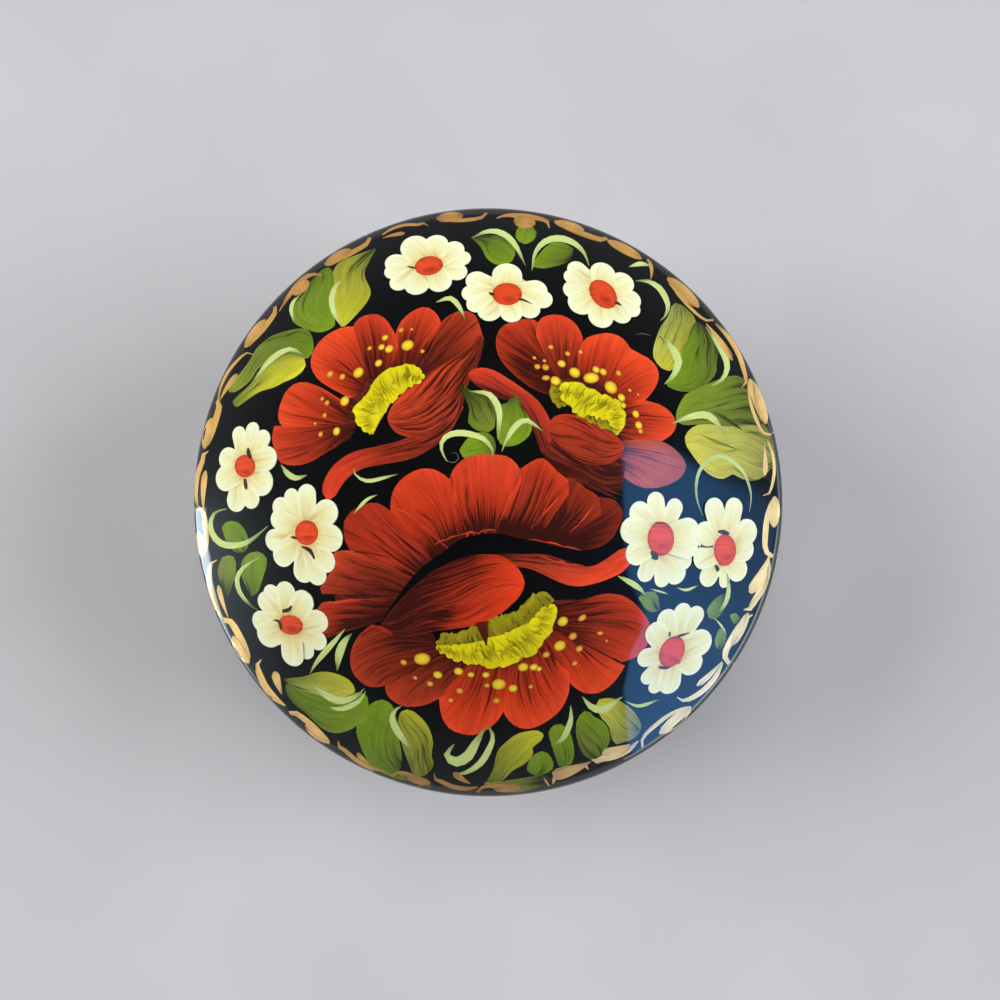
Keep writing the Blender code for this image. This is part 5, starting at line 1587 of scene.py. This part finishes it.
leaves = paint_leaves()
poppies = Paint("poppy_petals", petal_paint)
stamens = Paint("poppy_stamens", yellow_paint)
dots = Paint("pollen_dots", dot_paint)
gap = Paint("poppy_gap", black_paint)
paint_first_poppy(poppies, stamens, dots)
paint_second_poppy(poppies, stamens, dots)
paint_third_poppy(poppies, stamens, dots, gap)
lay_leaves(leaves, CENTRE_LEAVES)
daisies = Paint("daisy_petals", daisy_paint)
hearts = Paint("daisy_hearts", heart_paint)
paint_daisies(daisies, hearts)
highlights = paint_highlights()
border = paint_border()
for painted in (leaves, poppies, stamens, dots, gap, daisies, hearts, highlights, border):
    painted.make()


# Floor, light and camera

# The backdrop's colour and that of the dim room round it, and the room's size in metres
BACKDROP = (0.68, 0.68, 0.71)
ROOM_LIGHT = (0.028, 0.03, 0.032)
ROOM_RADIUS = 20.0
ROOM_FOOT = 0.3
# How much brighter the room is at its foot, and the share of its height at which that has faded
ROOM_GLOW = 9.0
ROOM_DUSK = 0.44
# Half the width of the floor in metres, its two tones, and how far out in millimetres it turns into the
# backdrop
PAPER_HALF = 12.0
PAPER_TONES = ((196, 195, 199), (202, 201, 205))
PAPER_FADE = (350, 1500)


def seen(tree):
    """1 for the rays with which the camera, gloss or glass sees a background, and 0 for the rest."""
    path = tree.nodes.new("ShaderNodeLightPath")
    found = path.outputs["Is Camera Ray"]
    for kind in ("Is Glossy Ray", "Is Transmission Ray"):
        either = tree.nodes.new("ShaderNodeMath")
        either.operation = "MAXIMUM"
        tree.links.new(found, either.inputs[0])
        tree.links.new(path.outputs[kind], either.inputs[1])
        found = either.outputs[0]
    return found


def floor():
    """The plain pale floor, which takes the object's shadow, and far away turns into the backdrop."""
    mesh = bpy.data.meshes.new("floor")
    corners = [(x * PAPER_HALF, y * PAPER_HALF, 0) for x, y in ((-1, -1), (1, -1), (1, 1), (-1, 1))]
    mesh.from_pydata(corners, [], [(0, 1, 2, 3)])
    look = Look("floor_paper", Roughness=0.9, Specular_IOR_Level=0.0)
    where = place(look)
    cloud = look.noise(where, 0.02, 2.0)
    dark, pale = (linear(*tone) for tone in PAPER_TONES)
    look.link(look.mix(look.stretch(cloud, 0.3, 0.7), dark, pale), "Base Color")
    away = look.add("ShaderNodeVectorMath", {0: where}, operation="LENGTH").outputs["Value"]
    far = look.math("MULTIPLY", look.stretch(away, *PAPER_FADE, smooth=True), seen(look.tree))
    glow = look.add("ShaderNodeEmission", {"Color": (*BACKDROP, 1)})
    both = look.add("ShaderNodeMixShader", {0: far, 1: look.shader.outputs[0], 2: glow.outputs[0]})
    look.tree.links.new(both.outputs[0], look.tree.nodes["Material Output"].inputs["Surface"])
    mesh.materials.append(look.material)
    obj = bpy.data.objects.new("floor", mesh)
    bpy.context.scene.collection.objects.link(obj)


def dark_room():
    """The dim room above the box, which only the gloss shows. It leaves the backdrop free near the floor."""
    made = bmesh.new()
    bmesh.ops.create_uvsphere(made, u_segments=48, v_segments=48, radius=ROOM_RADIUS)
    low = [v for v in made.verts if v.co.z < ROOM_FOOT]
    bmesh.ops.delete(made, geom=low, context="VERTS")
    mesh = bpy.data.meshes.new("dark_room")
    made.to_mesh(mesh)
    made.free()
    heights = np.array([v.co.z for v in mesh.vertices]) / ROOM_RADIUS
    glow = 1 + ROOM_GLOW * np.clip(1 - heights / ROOM_DUSK, 0, 1) ** 2
    mesh.attributes.new("glow", "FLOAT", "POINT").data.foreach_set("value", glow)
    look = Look("dark_room_wall", Emission_Color=(*ROOM_LIGHT, 1))
    look.link(look.attribute("glow")["Fac"], "Emission Strength")
    look.shader.inputs["Base Color"].default_value = (0, 0, 0, 1)
    look.shader.inputs["Specular IOR Level"].default_value = 0.0
    mesh.materials.append(look.material)
    show_in_gloss(bpy.data.objects.new("dark_room", mesh))


def show_in_gloss(obj):
    """Puts a piece of the surroundings on the stage, where only the gloss of the object shows it."""
    obj.visible_camera = False
    obj.visible_diffuse = False
    obj.visible_shadow = False
    bpy.context.scene.collection.objects.link(obj)


# What the lamps are turned to, how wide they are, and the name, place, power and colour of each
LAMP_TARGET = (0, 0, 0.03)
LAMP_SIZE = 2.2
LAMPS = [
    ("soft_left", (-2.75, 0.75, 1.55), 88.0, (1.0, 0.99, 0.97)),
    ("soft_right", (2.75, 0.3, 1.45), 85.0, (0.97, 0.985, 1.0)),
    ("soft_top", (0.0, 1.25, 3.0), 44.0, (1.0, 1.0, 1.0)),
]


def lamp(name, place_of, power, colour):
    """A square soft lamp that the gloss doesn't show."""
    light = bpy.data.lights.new(name, "AREA")
    light.shape = "RECTANGLE"
    light.size = LAMP_SIZE
    light.size_y = LAMP_SIZE
    light.energy = power
    light.color = colour
    obj = bpy.data.objects.new(name, light)
    obj.location = place_of
    ahead = np.array(LAMP_TARGET, float) - np.array(place_of, float)
    obj.rotation_euler = Vector(ahead).to_track_quat("-Z", "Y").to_euler()
    obj.visible_camera = False
    obj.visible_glossy = False
    bpy.context.scene.collection.objects.link(obj)


# The outlines of two windows, in metres along Y and up and with how bright they are inside that corner,
# as the gloss of the lid shows them
RIGHT_WINDOW = [
    (0.47, 0.86, 1.0), (0.34, 0.52, 0.9), (0.20, 0.38, 0.8), (0.09, 0.18, 0.5), (0.03, 0.09, 0.3),
    (-0.58, 0.05, 0.8), (-1.1, 0.05, 0.9), (-1.7, 0.05, 1.1), (-1.90, 0.22, 1.1), (-1.45, 0.53, 1.0),
    (-1.1, 0.61, 1.0), (-0.88, 0.60, 1.0), (-0.68, 0.68, 1.0), (-0.52, 0.83, 1.0), (-0.2, 0.89, 1.0),
    (0.15, 0.90, 1.0),
]
LEFT_WINDOW = [
    (-0.170, 0.0, 0.1), (-0.100, 0.0, 0.4), (-0.045, 0.0, 1.0), (-0.003, 0.0, 1.0), (-0.003, 0.059, 1.0),
    (-0.045, 0.059, 1.0), (-0.100, 0.050, 0.4), (-0.170, 0.046, 0.1),
]
# The hazy light low in the window to the right
LOW_WINDOW = [
    (-1.95, 0.0, 0.5), (-0.9, 0.0, 1.0), (0.4, 0.0, 0.5), (0.4, 0.085, 0.4), (-0.1, 0.095, 0.7),
    (-0.9, 0.115, 1.0), (-1.95, 0.14, 0.6),
]
# Each window: its name, how far away it stands along X, its outline, the width over which it fades out, and
# its light
WINDOWS = [
    ("window_right", 1.0, RIGHT_WINDOW, 0.11, (0.35, 1.22, 2.92)),
    ("window_left", -0.2, LEFT_WINDOW, 0.003, (9.0, 11.2, 12.6)),
    ("window_low", 0.99, LOW_WINDOW, 0.03, (3.8, 4.9, 5.1)),
]


def window(name, away, outline, soft, shine):
    """A bright upright pane to one side, which only the gloss shows. It fades out over a width of soft."""
    outer = np.array([(y, z) for y, z, _ in outline])
    middle = outer.mean(axis=0)
    reach = np.hypot(*(outer - middle).T)[:, None]
    inner = middle + (outer - middle) * (1 - soft / reach)
    count = len(outline)
    spots = np.vstack([outer, inner, middle[None]])
    faces = [[i, (i + 1) % count, count + (i + 1) % count, count + i] for i in range(count)]
    faces += [[count + i, count + (i + 1) % count, 2 * count] for i in range(count)]
    mesh = bpy.data.meshes.new(name)
    mesh.from_pydata([(away, y, z) for y, z in spots], [], faces)
    glows = [g for _, _, g in outline]
    for key, values in (("glow", glows + glows + [1.0]), ("fade", [0.0] * count + [1.0] * (count + 1))):
        mesh.attributes.new(key, "FLOAT", "POINT").data.foreach_set("value", values)
    look = Look(name + "_light", Emission_Color=(*(c / max(shine) for c in shine), 1))
    look.shader.inputs["Base Color"].default_value = (0, 0, 0, 1)
    glow, fade = (look.attribute(key)["Fac"] for key in ("glow", "fade"))
    bright = look.math("MULTIPLY", glow, look.stretch(fade, 0, 1, smooth=True))
    look.link(look.math("MULTIPLY", bright, max(shine)), "Emission Strength")
    mesh.materials.append(look.material)
    show_in_gloss(bpy.data.objects.new(name, mesh))


def set_world():
    world = bpy.data.worlds.new("world")
    world.use_nodes = True
    bpy.context.scene.world = world
    tree = world.node_tree
    back = tree.nodes["Background"]
    mix = tree.nodes.new("ShaderNodeMix")
    mix.data_type = "RGBA"
    tree.links.new(seen(tree), mix.inputs["Factor"])
    mix.inputs[6].default_value = (*ROOM_LIGHT, 1)
    mix.inputs[7].default_value = (*BACKDROP, 1)
    tree.links.new(mix.outputs[2], back.inputs["Color"])
    back.inputs["Strength"].default_value = 1.0


floor()
dark_room()
set_world()
for details in LAMPS:
    lamp(*details)
for details in WINDOWS:
    window(*details)

camera_data = bpy.data.cameras.new("camera")
camera_data.lens = LENS
camera_data.sensor_width = SENSOR_WIDTH
camera = bpy.data.objects.new("camera", camera_data)
camera.location = EYE * MM
bpy.context.scene.collection.objects.link(camera)
bpy.context.scene.camera = camera
bpy.context.scene.view_settings.view_transform = "Standard"
